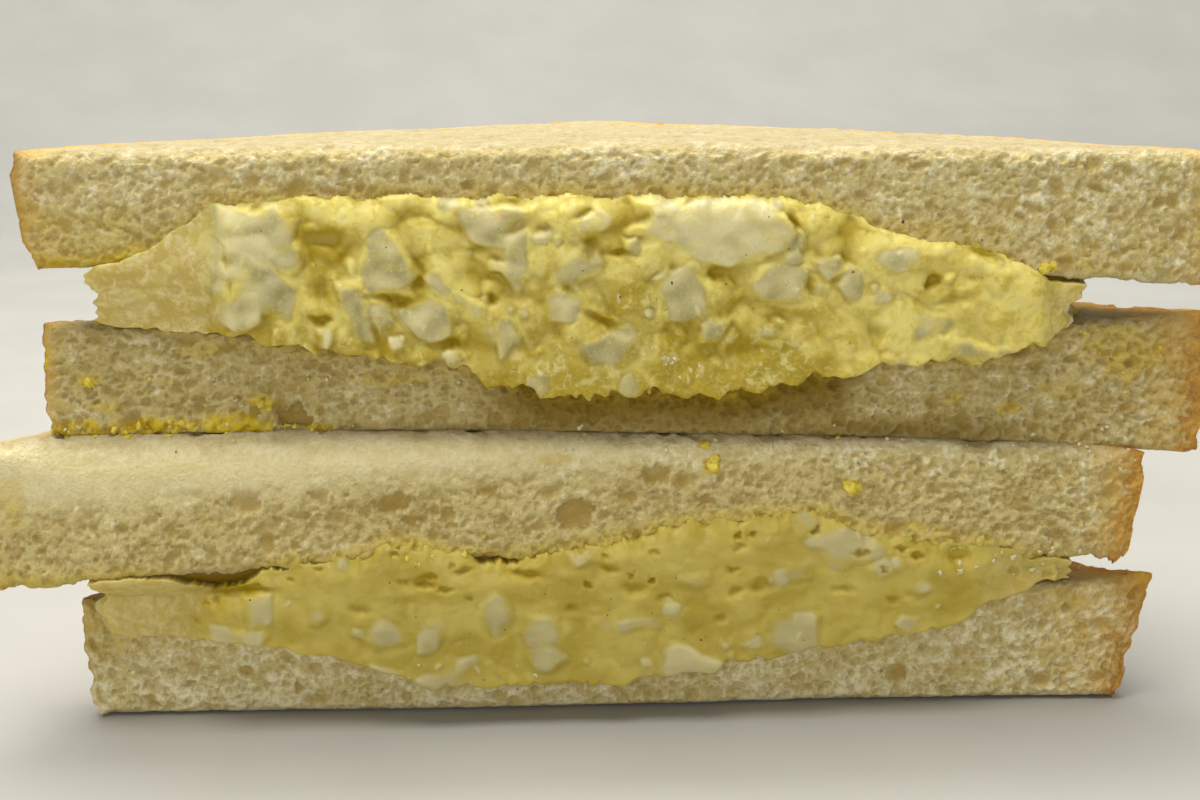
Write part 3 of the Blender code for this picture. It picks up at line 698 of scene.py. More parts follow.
    # small bits of white standing on the surface
    for _ in range(bits):
        u, v = rng.uniform(x0 + 2, x1 - 2), rng.uniform(z_lo + 1, z_hi - 1)
        if rng.random() > smooth(0.5 + 1.2 * float(noise(np.array([u / 9.0]), np.array([v / 7.0]), seed + 35)[0])):
            continue
        r = rng.uniform(0.12, 0.30)
        w = f.window(u, v, 3.2 * r)
        if w is None:
            continue
        turn = rng.uniform(0, 3.1)
        c, s = math.cos(turn), math.sin(turn)
        q = (((X[w] - u) * c + (Z[w] - v) * s) / (r * rng.uniform(1, 2.6))) ** 2 + (((Z[w] - v) * c - (X[w] - u) * s) / r) ** 2
        bump = np.clip(1 - q, 0, 1) ** 0.5
        relief[w] = relief[w] + 0.15 * bump
        white[w] = np.maximum(white[w], 0.65 * smooth(bump * 2))
        tone[w] = np.where(bump > 0.1, 1.0, tone[w])
    deep = blur(relief, 1) - blur(relief, 14)
    # painted shade: recesses of the relief and the air pockets are painted a darker, more saturated yellow
    cavity = np.clip(np.clip(-(relief + 0.25) / (1.7 * depth), 0, 1) * 0.85 + np.clip(-deep / 0.5, 0, 1) * 0.45, 0, 1)
    relief = relief * (1 - 0.55 * thin(X)) + thin(X) * (0.55 * fbm(X / 2.6, Z / 1.9, seed + 38, 4, 0.6) + 0.25 * noise(X / 5, Z / 4, seed + 39))
    white *= 1 - 0.5 * thin(X)
    cavity *= 1 - 0.6 * thin(X)
    white = np.clip(white, 0, 1)
    cavity = np.maximum(cavity, pocket)
    # painted highlight: the raised crests of the relief
    crest = np.clip(deep / 0.35, 0, 1)
    # painted shade: the filling is painted darker and more saturated towards the bottom, over broad random tone
    wide_tint = 0.5 + 0.5 * fbm(X / 10.0, Z / 7.0, seed + 19, 4, 0.6) + deepen * (0.5 - (Z - z_lo) / (z_hi - z_lo)) * 2 - deepen * 0.5 * smooth((X - 26) / 14.0)

    t = np.linspace(0, 1, columns + 1)
    fx, bx, by, run = filling_plan(name, t)
    fa, fb = face_y(above, fx), face_y(below, fx)
    ya = fa + 2.4
    yb = fb + 2.4
    roof_f, floor_f = roof(fx, ya), floor(fx, yb)
    topline = outline(top_table, fx)
    lowline = outline(low_table, fx)
    zh = np.maximum(topline + 1.6, roof_f + 1.0)
    zl = np.minimum(lowline - 2.2 * drip - 0.8, floor_f - 0.8)
    end_fade = smooth((fx - x0) / 5.0) * smooth((x1 - fx) / 5.0)
    rows = Rows()

    def slab(surface, y_front, sign, forward, count=16):
        strides = [2, 4]
        order = strides + [4] * (count - 4) + strides[::-1]
        for i, stride in enumerate(order):
            q = (i + 1) / (len(order) + 1)
            if not forward:
                q = 1 - q
            c = slice(0, None, stride)
            x, y = bx[c] + (fx[c] - bx[c]) * q, by[c] + (y_front[c] - by[c]) * q
            rows.add(np.stack([x, y, surface(x, y) + sign * 0.12], 1), cavity=0.5)

    # back edge, from the slice below up to the slice above
    back = 15
    for k in range(back):
        v = k / (back - 1)
        ox, oy = bx - fx, by - np.maximum(fa, fb)
        n = np.hypot(ox, oy)
        zf, zr = floor(bx, by) - 0.12, roof(bx, by) + 0.12
        rel = 0.9 * fbm(run / 4.0, (zf + (zr - zf) * v) / 4.0, seed + 80, 4, 0.55) + 0.5 * noise(run / 11, v * 1.0 + 0 * run, seed + 84)
        belly = (1.1 * math.sin(math.pi * v) + rel * math.sin(math.pi * v) ** 0.6) * np.minimum(1, n / 10) * end_fade
        w_back = smooth((noise(run / 3.1, v * 2.2 + 0 * run, seed + 88) - 0.22) / 0.1)
        rows.add(np.stack([bx + ox / n * belly, by + oy / n * belly, zf + (zr - zf) * v], 1), cavity=np.clip(0.35 - rel * 0.5, 0, 1), white=w_back, tone=0.5)
    slab(roof, ya, 1, True)
    for k in range(4):
        v = (k + 0.5) / 4
        rows.add(np.stack([fx, fa + 2.4 - 1.0 * smooth(v * 1.5) , roof_f + 0.12 + (zh - roof_f - 0.12) * v], 1), cavity=0.5)
    for k in range(front_rows):
        v = k / (front_rows - 1)
        z = zh + (zl - zh) * v
        # bread face behind this height, eased across the gap between the slices
        g = smooth((z - (floor_f - 0.4)) / np.maximum(1.0, roof_f - floor_f + 0.8))
        y_back = fb + (fa - fb) * g
        te, le = f.at(np.broadcast_to(top_edge, X.shape), fx, z), f.at(np.broadcast_to(low_edge, X.shape), fx, z)
        d_top, d_low = te - z, z - le
        in_top = np.clip(d_top / 3.4, -1, 1)
        in_low = np.clip(d_low / 1.3, -1, 1)
        shape = lambda e: np.where(e > 0, np.sqrt(np.clip(1 - (1 - np.clip(e, 0, 1)) ** 2, 0, 1)), 0)
        edge = shape(in_top) * shape(in_low)
        outside = (in_top <= 0) | (in_low <= 0)
        y_front = plateau[0] + (plateau[1] - plateau[0]) * (fx - x0) / (x1 - x0)
        y_front = y_front + np.maximum(1 - end_fade, thin(fx)) * (np.maximum(fa, fb) - 0.35 - y_front)
        rel = f.at(relief, fx, z)
        y = y_back - edge * (y_back - y_front) - rel * np.minimum(1, edge * 1.5) * end_fade
        y = np.where(outside, y_back + 1.6, np.minimum(y, y_back - 0.12 + 0.5 * (1 - smooth(edge * 6))))
        y = np.maximum(y, -0.35)
        hang = droop * edge * (1 - smooth((z - le) / 7.0)) * np.clip((y_back - y) / 3.0, 0, 1) * end_fade
        # surfaces set back behind the filling's ragged edge are marked here and painted dark olive as shade
        rows.add(np.stack([fx, y, z - hang], 1), cavity=np.where(outside, 1.0, f.at(cavity, fx, z)), white=f.at(white, fx, z), tone=f.at(tone, fx, z),
                 rim=f.at(rim, fx, z), crest=f.at(crest, fx, z), broad=f.at(wide_tint, fx, z), grain=1 - 0.6 * paste, film=thin(fx + 3.0 * noise(fx / 4.0, z / 3.0, seed + 70)) * (1 - outside), deep=1.0 * outside)
    for k in range(4):
        v = (k + 0.5) / 4
        rows.add(np.stack([fx, fb + 1.4 + 1.0 * smooth(v * 1.5 - 0.5), zl + (floor_f - 0.12 - zl) * v], 1), cavity=0.5)
    slab(floor, yb, -1, False)
    # the two ends are bitten and rounded, not cut straight
    z_mid = 0.5 * (float(roof_f.mean()) + float(floor_f.mean()))
    for i, p in enumerate(rows.points):
        v = (p[:, 2] - z_mid) / 5.0
        bite = 0.7 + 0.5 * v * v + 1.4 * noise(p[:, 2] / 2.3, 0 * v + 0.5, seed + 71) + 0.7 * noise(p[:, 2] / 0.9, 0 * v + 1.5, seed + 72)
        bite = np.clip(bite, 0, 3.0)
        other = 0.6 + 0.5 * v * v + 1.4 * noise(p[:, 2] / 2.1, 0 * v + 4.5, seed + 73) + 0.7 * noise(p[:, 2] / 0.9, 0 * v + 5.5, seed + 74)
        other = np.clip(other, 0, 3.0)
        p[:, 0] += np.exp(-np.clip(p[:, 0] - x0, 0, 99) / 3.2) * bite - np.exp(-np.clip(x1 - p[:, 0], 0, 99) / 3.2) * other
    ob = rows.build(name + "_salad", ("cavity", "white", "tone", "rim", "crest", "broad", "film", "grain", "deep"), ((0, back), (back + 20, back + 20 + front_rows)))
    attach(ob, "root")
    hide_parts(name)
    return ob


# ---------------------------------------------------------------- materials
def srgb(r, g, b):
    f = lambda c: (c / 255 / 12.92) if c / 255 <= 0.04045 else ((c / 255 + 0.055) / 1.055) ** 2.4
    return (f(r), f(g), f(b), 1.0)


class Nodes:
    """Short hand for a material's node tree."""

    def __init__(self, name):
        self.mat = bpy.data.materials.new(name)
        self.mat.use_nodes = True
        self.tree = self.mat.node_tree
        self.shader = self.tree.nodes["Principled BSDF"]
        coord = self.tree.nodes.new("ShaderNodeTexCoord")
        self.where = coord.outputs["Object"]

    def link(self, a, b):
        self.tree.links.new(a, b)

    def attribute(self, name):
        n = self.tree.nodes.new("ShaderNodeAttribute")
        n.attribute_name = name
        return n.outputs["Fac"]

    def noise(self, per_mm, detail=3.0, rough=0.55, distort=0.0, stretch=None):
        n = self.tree.nodes.new("ShaderNodeTexNoise")
        n.inputs["Scale"].default_value = per_mm * 1000
        n.inputs["Detail"].default_value = detail
        n.inputs["Roughness"].default_value = rough
        n.inputs["Distortion"].default_value = distort
        if stretch:
            m = self.tree.nodes.new("ShaderNodeMapping")
            m.inputs["Scale"].default_value = stretch
            self.link(self.where, m.inputs["Vector"])
            self.link(m.outputs["Vector"], n.inputs["Vector"])
        else:
            self.link(self.where, n.inputs["Vector"])
        return n.outputs["Fac"]

    def cells(self, per_mm, feature="F1", randomness=1.0):
        n = self.tree.nodes.new("ShaderNodeTexVoronoi")
        n.feature = feature
        n.inputs["Scale"].default_value = per_mm * 1000
        n.inputs["Randomness"].default_value = randomness
        self.link(self.where, n.inputs["Vector"])
        return n.outputs["Distance"]

    def ramp(self, value, low, high, a=0.0, b=1.0, ease="SMOOTHSTEP"):
        n = self.tree.nodes.new("ShaderNodeMapRange")
        n.interpolation_type = ease
        n.inputs["From Min"].default_value = low
        n.inputs["From Max"].default_value = high
        n.inputs["To Min"].default_value = a
        n.inputs["To Max"].default_value = b
        self.link(value, n.inputs["Value"])
        return n.outputs["Result"]

    def math(self, op, a, b=None):
        n = self.tree.nodes.new("ShaderNodeMath")
        n.operation = op
        for i, v in enumerate((a, b)):
            if v is None:
                continue
            if isinstance(v, (int, float)):
                n.inputs[i].default_value = v
            else:
                self.link(v, n.inputs[i])
        return n.outputs[0]

    def mix(self, fac, a, b):
        n = self.tree.nodes.new("ShaderNodeMix")
        n.data_type = "RGBA"
        for socket, v in ((n.inputs[0], fac), (n.inputs[6], a), (n.inputs[7], b)):
            if isinstance(v, (tuple, float, int)):
                socket.default_value = v
            else:
                self.link(v, socket)
        return n.outputs[2]

    def bump(self, value, distance_mm, strength=1.0, after=None):
        n = self.tree.nodes.new("ShaderNodeBump")
        n.inputs["Distance"].default_value = distance_mm * MM
        n.inputs["Strength"].default_value = strength
        self.link(value, n.inputs["Height"])
        if after is not None:
            self.link(after, n.inputs["Normal"])
        return n.outputs["Normal"]


def bread_material():
    m = Nodes("white_bread")
    crust, pit, stain, calm, side, wall = (m.attribute(n) for n in ("crust", "pit", "stain", "calm", "side", "wall"))
    tint = m.attribute("tint")
    fine = m.noise(1.9, 3, 0.62, 0.3)
    flake = m.noise(0.75, 4, 0.62, 0.5)
    mottle = m.math("ADD", m.math("MULTIPLY", tint, 0.6), m.math("MULTIPLY", m.math("SUBTRACT", fine, 0.5), 0.8))
    mottle = m.math("ADD", mottle, m.math("MULTIPLY", m.math("SUBTRACT", flake, 0.5), 1.2))
    col = m.mix(m.ramp(mottle, -0.45, 0.02), srgb(172, 151, 90), srgb(200, 184, 124))
    col = m.mix(m.ramp(mottle, 0.02, 0.46), col, srgb(232, 224, 186))
    # painted shade: the wide top and bottom faces are painted a darker, greyer crumb than the cut face, toning down the
    # overhead light on them
    face = m.mix(m.ramp(mottle, -0.35, 0.35), srgb(161, 148, 112), srgb(180, 169, 138))
    col = m.mix(m.math("MULTIPLY", m.attribute("flat"), 0.9), col, face)
    # painted shade: pores are painted a darker brown-yellow, less so on the wide faces
    col = m.mix(m.math("MULTIPLY", pit, m.ramp(m.attribute("flat"), 0, 1, 0.80, 0.42)), col, srgb(168, 140, 68))
    # painted highlight on the raised crumb walls
    col = m.mix(m.math("MULTIPLY", wall, 0.45), col, srgb(232, 225, 190))
    # painted highlight: the smooth shoulder is painted paler where it faces up into the light
    col = m.mix(m.math("MULTIPLY", calm, m.ramp(mottle, -0.5, 0.3, 0.62, 0.90)), col, srgb(224, 212, 165))
    # painted shadow: dark olive where the filling's overhang and the seam shade this slice face, over a faint even
    # yellow soak
    col = m.mix(m.math("MULTIPLY", m.attribute("soak"), 0.92), col, srgb(122, 96, 4))
    # baked skin: a thin brown rim on cut surfaces, full colour on the side
    wander = m.math("ADD", crust, m.math("MULTIPLY", tint, 1.1))
    warm = m.ramp(wander, 0.5, 3.4, 1, 0)
    brown = m.ramp(wander, 0.1, 1.5, 1, 0)
    tan = m.mix(m.ramp(tint, -0.4, 0.4), srgb(202, 156, 76), srgb(168, 119, 44))
    tan = m.mix(m.math("MULTIPLY", m.ramp(fine, 0.45, 0.75), 0.55), tan, srgb(136, 90, 32))
    col = m.mix(m.math("MULTIPLY", warm, 0.6), col, srgb(206, 168, 86))
    col = m.mix(brown, col, tan)
    yolk = m.mix(m.ramp(tint, -0.4, 0.5), srgb(212, 190, 58), srgb(184, 150, 20))
    # painted shade: the yolk stain is painted darker in the pores
    yolk = m.mix(m.math("MULTIPLY", pit, 0.8), yolk, srgb(150, 112, 8))
    col = m.mix(m.math("MULTIPLY", stain, m.ramp(flake, 0.38, 0.52, 0.45, 1.0)), col, yolk)
    m.link(col, m.shader.inputs["Base Color"])
    m.link(m.ramp(side, 0, 1, 0.92, 0.62), m.shader.inputs["Roughness"])
    m.shader.inputs["Specular IOR Level"].default_value = 0.22
    n = m.bump(fine, 0.34, 0.9)
    m.link(n, m.shader.inputs["Normal"])
    return m.mat


def salad_material():
    m = Nodes("egg_salad")
    white, cavity, tone, rim, crest = (m.attribute(n) for n in ("white", "cavity", "tone", "rim", "crest"))
    broad = m.attribute("broad")
    grain = m.attribute("grain")
    evened = lambda v: m.math("ADD", 0.5, m.math("MULTIPLY", m.math("SUBTRACT", v, 0.5), grain))
    mid = evened(m.noise(0.55, 4, 0.62, 0.5))
    fine = evened(m.noise(1.7, 3, 0.6, 0.3))
    # the broad value mixes random tone with painted shade, darker towards the bottom of the filling
    col = m.mix(m.ramp(broad, 0.35, 0.66), srgb(228, 214, 120), srgb(175, 154, 38))
    col = m.mix(m.math("MULTIPLY", m.ramp(mid, 0.47, 0.66), 0.60), col, srgb(190, 166, 38))
    col = m.mix(m.math("MULTIPLY", m.ramp(mid, 0.34, 0.48, 1, 0), 0.65), col, srgb(222, 213, 142))
    col = m.mix(m.math("MULTIPLY", m.ramp(fine, 0.50, 0.66), 0.28), col, srgb(228, 217, 138))
    # painted highlight on the crests and on the band round each white
    col = m.mix(m.math("MULTIPLY", m.math("MAXIMUM", rim, crest), 0.5), col, srgb(230, 219, 132))
    dense = m.math("SUBTRACT", 1.0, grain)      # the smooth paste of the lower half is deeper in colour
    col = m.mix(m.math("MULTIPLY", dense, 1.4), col, srgb(172, 153, 58))
    # painted shade in the recesses and pockets of the filling
    col = m.mix(cavity, col, srgb(178, 152, 12))
    egg = m.mix(tone, srgb(166, 157, 102), srgb(219, 210, 160))
    egg = m.mix(m.math("MULTIPLY", m.ramp(mid, 0.46, 0.66), 0.45), egg, srgb(204, 192, 120))
    egg = m.mix(m.math("MULTIPLY", m.ramp(fine, 0.52, 0.68), 0.35), egg, srgb(216, 211, 178))
    egg = m.mix(m.math("MULTIPLY", dense, 1.5), egg, srgb(184, 174, 124))
    # egg white in recesses is painted darker too, painted shade
    col = m.mix(white, col, m.mix(m.math("MULTIPLY", cavity, 0.7), egg, srgb(178, 150, 40)))
    film = m.mix(m.ramp(mid, 0.36, 0.60), srgb(226, 212, 156), srgb(198, 175, 96))
    film = m.mix(m.math("MULTIPLY", m.ramp(fine, 0.45, 0.62), 0.5), film, srgb(192, 168, 88))
    bare = m.math("SUBTRACT", 1.0, m.math("MULTIPLY", white, 1.1))
    col = m.mix(m.math("MULTIPLY", m.math("MULTIPLY", m.attribute("film"), 0.85), m.math("MAXIMUM", bare, 0.0)), col, film)
    # painted shade: surfaces set back behind the filling's edge are painted dark olive
    col = m.mix(m.math("MULTIPLY", m.attribute("deep"), 0.85), col, srgb(112, 84, 10))
    m.link(col, m.shader.inputs["Base Color"])
    m.link(m.ramp(mid, 0.3, 0.7, 0.36, 0.55), m.shader.inputs["Roughness"])
    m.shader.inputs["Specular IOR Level"].default_value = 0.38
    m.shader.inputs["Subsurface Weight"].default_value = 0.7
    m.shader.inputs["Subsurface Radius"].default_value = (1.0, 0.75, 0.25)
    m.shader.inputs["Subsurface Scale"].default_value = 2.4 * MM
    n = m.bump(mid, 0.28, 0.6)
    n = m.bump(fine, 0.12, 0.7, n)
    m.link(n, m.shader.inputs["Normal"])
    return m.mat


# ---------------------------------------------------------------- what the cut shows, by image position
UPPER_CHUNKS = [  # x, y, width, height, turn in degrees, rise in mm
    (716, 231, 176, 72, -1, 0.35), (386, 263, 54, 62, 20, 0.20), (497, 228, 66, 40, 5, 0.25), (685, 294, 50, 58, 10, 0.0),
    (430, 318, 52, 42, -10, 0.15), (234, 226, 46, 40, 20, 0.15), (270, 231, 58, 46, 40, 0.25), (250, 262, 70, 52, 10, 0.3),
    (221, 262, 36, 42, -30, 0.1), (264, 292, 60, 44, -20, 0.2), (238, 309, 48, 34, 15, 0.25), (288, 258, 28, 40, 5, 0.1), (214, 290, 28, 30, 10, 0.1), (205, 246, 26, 22, 40, 0.15), (355, 305, 26, 50, -8, 0.25),
    (515, 268, 25, 50, 8, 0.15), (562, 306, 42, 38, -20, 0.05), (475, 312, 26, 24, 0, 0.3), (508, 334, 26, 34, 10, 0.1),
    (615, 346, 70, 26, 6, 0.25), (715, 331, 26, 30, 0, 0.3), (783, 282, 62, 40, -5, 0.25), (852, 284, 24, 34, 0, 0.1),
    (834, 268, 26, 22, 20, 0.12), (580, 266, 48, 34, 25, 0.3), (536, 376, 26, 30, 10, 0.2), (772, 330, 22, 16, 0, 0.3),
    (972, 346, 88, 22, -4, 0.35), (630, 380, 30, 22, 0, 0.3), (172, 262, 26, 24, 30, 0.2), (455, 352, 30, 22, 20, 0.2),
    (92, 262, 34, 16, 35, 0.1), (124, 304, 36, 24, 10, 0.1), (152, 282, 28, 22, 0, 0.1), (178, 300, 20, 16, 0, 0.1), (905, 258, 60, 22, 10, 0.1), (930, 320, 46, 20, -8, 0.0), (662, 205, 60, 16, -4, 0.2), (455, 205, 40, 18, 0, 0.3), (595, 222, 40, 20, 20, 0.2)]
UPPER_HOLLOWS = [
    (326, 238, 36, 16, 0, 2.2), (321, 292, 20, 22, 60, 1.3), (320, 317, 20, 8, 0, 1.8), (192, 322, 34, 12, -8, 1.2), (518, 226, 30, 14, 20, 1.6),
    (590, 250, 16, 20, 0, 1.4), (618, 254, 32, 9, -6, 1.3), (602, 322, 44, 8, -28, 1.5), (384, 300, 40, 8, -20, 1.4), (716, 275, 16, 12, 30, 1.6),
    (796, 226, 10, 22, 15, 1.8), (990, 254, 40, 14, -18, 2.4), (935, 282, 14, 14, 0, 2.0), (812, 288, 10, 22, 10, 1.2), (585, 215, 24, 8, 0, 1.0),
    (455, 340, 26, 8, 0, 1.0), (492, 300, 10, 14, 0, 1.2), (745, 350, 60, 8, 4, 0.7), (955, 300, 44, 12, 12, 0.9), (880, 330, 20, 10, 0, 0.9),
    (226, 262, 10, 14, 20, 1.2), (418, 278, 8, 24, 8, 1.0), (540, 230, 14, 10, 0, 1.3), (655, 386, 24, 8, 0, 1.0)]
UPPER_TABLES = (
    [(-67, 63.6), (-62, 64.0), (-58, 65.4), (-53, 68.6), (-49, 71.3), (-41, 72.1), (-25, 72.2), (0, 72.3), (18, 72.0), (25.5, 71.6), (32, 69.8), (38.6, 67.3), (48.4, 65.3), (55.8, 63.3), (60, 60.6), (65, 60.2)],
    [(-67, 56.6), (-60, 55.6), (-51, 54.6), (-42, 53.0), (-32, 51.6), (-22, 50.1), (-13, 47.7), (-5, 45.8), (6.5, 46.0), (14, 45.7), (21, 45.6), (26, 47.6), (39, 49.4), (53, 50.1), (59, 51.9), (65, 54.6)])
LOWER_CHUNKS = [
    (497, 616, 40, 44, 0, -0.1), (540, 634, 46, 36, 10, 0.1), (388, 638, 52, 24, 5, 0.1), (430, 636, 30, 36, 0, 0.1), (390, 680, 34, 30, 0, 0.2),
    (440, 683, 76, 30, 3, 0.25), (545, 659, 48, 24, 0, 0.15), (690, 667, 106, 30, 2, 0.25), (792, 634, 62, 46, -12, 0.2), (850, 549, 86, 36, -10, 0.2),
    (695, 582, 40, 20, 0, 0.0), (640, 625, 50, 14, 4, 0.0), (795, 576, 42, 20, 0, 0.05), (920, 590, 30, 16, 0, 0.1), (910, 622, 26, 22, 0, 0.15),
    (935, 645, 30, 22, -20, 0.2), (225, 635, 62, 24, 0, 0.2), (258, 610, 30, 40, 10, 0.2), (318, 616, 26, 24, 0, 0.1), (590, 560, 40, 14, 0, 0.1), (880, 570, 34, 16, 0, 0.1)]
LOWER_HOLLOWS = [
    (420, 582, 26, 10, 10, 1.2), (463, 572, 20, 8, 0, 1.1), (525, 577, 36, 9, -4, 1.2), (635, 590, 20, 12, 0, 1.1), (760, 588, 26, 12, 0, 1.2), (735, 593, 12, 10, 0, 1.0),
    (360, 612, 18, 15, 0, 1.0), (960, 560, 30, 24, 0, 1.8), (1012, 560, 26, 18, 0, 1.8), (1040, 565, 12, 12, 0, 1.4), (1056, 580, 12, 10, 0, 1.2), (235, 592, 60, 10, -3, 2.2),
    (575, 612, 14, 9, 0, 0.9), (610, 570, 14, 8, 0, 0.9), (665, 600, 16, 8, 0, 0.8), (720, 622, 14, 8, 0, 0.8), (470, 598, 8, 8, 0, 0.8), (845, 590, 22, 9, 0, 0.8), (895, 600, 12, 10, 0, 0.9)]
LOWER_TABLES = (
    [(-69, 21.6), (-61, 22.3), (-57, 21.8), (-54.5, 20.6), (-49.5, 19.8), (-46.5, 21.8), (-44, 23.2), (-41, 23.8), (-33, 24.2), (-28, 26.4), (-20, 24.6), (-13, 23.2), (0, 25.6), (13, 28.2), (29, 29.3), (40, 25.6), (54, 24.6), (60, 22.2), (67, 21.6)],
    [(-69, 13.0), (-53, 12.5), (-40, 10.8), (-31, 7.9), (-23, 5.1), (-4, 4.9), (13.6, 6.6), (27, 9.2), (41, 11.2), (49, 12.4), (54.5, 15.6), (62.6, 18.2), (67, 18.6)])

# ---------------------------------------------------------------- making the pieces
bread = bread_material()
salad = salad_material()


def left_shoulder(x, w):
    """The knife-smoothed shoulder of the lower lid, wide at the left and gone by the right third; it is also painted
    paler, a painted highlight where the shoulder faces up into the light.
    """
    fade = 1 - smooth((x - 2) / 34.0)
    edge = 7.6 + 1.6 * smooth((x + 45) / 30.0) + 2.2 * smooth((x + 15) / 40.0) + 2.6 * fbm(x / 6.0, w / 4.0, 351, 4, 0.6)
    return fade * (0.62 * smooth((w - edge) / 6.5) + 0.33 * smooth((w - edge - 3.0) / 4.0))


pieces = [
    build_slice("upper_half_top_slice", 11, top=(112, 2),
                keys=[(1172, 200, 18, 15), (1030, 208, 14, 10), (960, 216, 12, 9), (120, 215, 14, 9)],
                stains=[(1080, 262, 120, 36, 0.45), (940, 232, 160, 26, 0.35), (170, 235, 160, 30, 0.3), (1150, 250, 60, 30, 0.3)],
                # shade=0.16 paints this slice lighter, painted light
                torn=lambda x, w: 0.55 * smooth((x - 30) / 25.0), slant=(1.6, 1.0), rim=(1.6, 1.8), shade=0.16, bold=0.7, heel=0.8, pale=(0.5, 0.3),
                smear=lambda x, z: 0.55 * smooth(1 - (z - outline(UPPER_TABLES[0], x)) / 2.6) * smooth((64 - x) / 10) + 0.4 * smooth((-52 - x) / 10) * smooth((74 - z) / 6)),
    build_slice("upper_half_bottom_slice", 22,
                keys=[(292, 420, 36, 30, 0.0, 0.9), (330, 398, 14, 12), (405, 392, 16, 12), (440, 412, 18, 12), (520, 420, 14, 10), (130, 375, 12, 10), (890, 400, 12, 9)],
                stains=[(42, 355, 12, 30, 1.0, 0.5), (88, 382, 26, 14, 0.9), (75, 430, 74, 22, 1.0, 0.3), (150, 428, 110, 24, 1.0, 0.3), (235, 426, 84, 26, 1.0, 0.4), (262, 404, 30, 20, 0.8, 0.3),
                        (320, 430, 36, 22, 0.95, 0.3), (110, 408, 40, 14, 0.5), (400, 434, 60, 10, 0.6), (500, 436, 90, 8, 0.5), (1120, 350, 90, 60, 0.55), (1010, 408, 30, 16, 0.7), (955, 398, 20, 14, 0.5), (200, 350, 60, 22, 0.35), (390, 380, 80, 16, 0.4), (1060, 390, 60, 20, 0.35)],
                torn=lambda x, w: 0.75 * smooth((x - 18) / 30.0) + 0.15, slant=(-0.6, 1.2), rim=(0.8, 2.8), frayed=0.9, heel=0.5, settle=0.55, pale=(1.0, 0.0),
                # this colour is painted shadow under the filling's lower edge and along the slice's bottom seam, over a
                # faint even yellow soak of the whole face
                soak=lambda x, z: np.maximum(0.20 + 0.5 * smooth((42.4 - z) / 2.0) * smooth((x + 44) / 14) * smooth((62 - x) / 14), (0.5 + 0.5 * smooth(1.25 - (outline(UPPER_TABLES[1], x) + 0.5 - z) / 7.0)) * smooth((x + 22) / 14) * smooth((42 - x) / 12)),
                smear=lambda x, z: 0.45 * smooth(1 - (outline(UPPER_TABLES[1], x) - z) / 2.2) * smooth((66 - x) / 8)),
    build_slice("lower_half_top_slice", 33,
                keys=[(245, 500, 35, 25, 0.0, 0.55), (320, 495, 20, 16), (395, 503, 35, 22, 0.2, 0.7), (415, 520, 25, 14), (435, 495, 14, 12), (487, 490, 20, 15), (575, 515, 42, 34, 0.3, 0.7),
                      (655, 476, 34, 20, 0.1, 0.7), (170, 560, 14, 16), (265, 525, 16, 12), (290, 530, 14, 12), (365, 510, 14, 12), (735, 475, 14, 12), (1057, 535, 22, 12), (705, 500, 22, 14), (530, 480, 14, 10)],
                stains=[(712, 466, 20, 20, 0.95, 0.25), (706, 445, 16, 12, 0.8), (853, 487, 18, 16, 1.0, 0.35), (838, 437, 10, 8, 0.9), (556, 460, 44, 14, 0.5), (415, 550, 34, 30, 0.75, 0.2),
                        (900, 530, 120, 18, 0.5), (720, 545, 180, 12, 0.6), (15, 500, 30, 60, 0.35), (150, 470, 120, 16, 0.2)],
                calm=left_shoulder,
                # shade paints this slice darker overall and lighter towards its top edge, painted light and shade
                torn=lambda x, w: 0.9 * smooth((x - 22) / 26.0) + 0.1, slant=(1.0, 2.2), rim=(2.4, 2.4), frayed=1.3, shade=lambda u, v: -0.16 + 0.42 * smooth((v - 10.0) / 6.0), lip=(5.8, 2.0), pale=(2.4, 0.0), bold=0.85,
                smear=lambda x, z: 0.6 * smooth(1 - (z - outline(LOWER_TABLES[0], x)) / 2.6) * smooth((70 - x) / 8)),
    build_slice("lower_half_bottom_slice", 44,
                keys=[(150, 690, 16, 12), (980, 660, 14, 10)],
                stains=[(1060, 600, 80, 30, 0.4), (120, 650, 120, 20, 0.35), (960, 668, 80, 14, 0.3)],
                # shade=0.30 paints this slice lighter, painted light against the shadow under the filling
                torn=lambda x, w: 0.4 * smooth((x - 30) / 26.0) + 0.1, slant=(1.0, 4.0), rim=(1.6, 4.2), frayed=0.9, shade=0.30, pale=(2.4, 0.0),
                smear=lambda x, z: 0.5 * smooth(1 - (outline(LOWER_TABLES[1], x) - z) / 2.4)),
    build_filling("upper_half_filling", 55, UPPER_TABLES, UPPER_CHUNKS, UPPER_HOLLOWS, (), drip=1.0, pockets=0, deepen=0.42,
                  mellow=lambda x, z: np.maximum(smooth((53.0 - z) / 3.5) * smooth((x + 14) / 8.0) * smooth((34 - x) / 10.0), 0.7 * smooth((x - 33) / 8.0)),
                  thin=lambda x: np.maximum(smooth((-46.5 - x) / 6.0), 0.75 * smooth((x - 57.0) / 6.0))),
    build_filling("lower_half_filling", 66, LOWER_TABLES, LOWER_CHUNKS, LOWER_HOLLOWS, (), front_rows=116, lumps=200, tiny=60, bits=50, deepen=0.1, paste=0.75, plateau=(0.6, 1.2), drip=0.55, droop=0.8, fringe=1.9, pockets=38,
                  thin=lambda x: np.maximum(0.8 * smooth((-50.0 - x) / 8.0), 0.5 * smooth((x - 50.0) / 8.0))),
]
for ob in pieces:
    ob.data.materials.append(salad if ob.name.endswith("salad") else bread)

# ---------------------------------------------------------------- loose bits lying on the cut faces
TREES = [(ob.name, BVHTree.FromPolygons([v.co for v in ob.data.vertices], [tuple(p.vertices) for p in ob.data.polygons if p.loop_total < 5])) for ob in pieces]


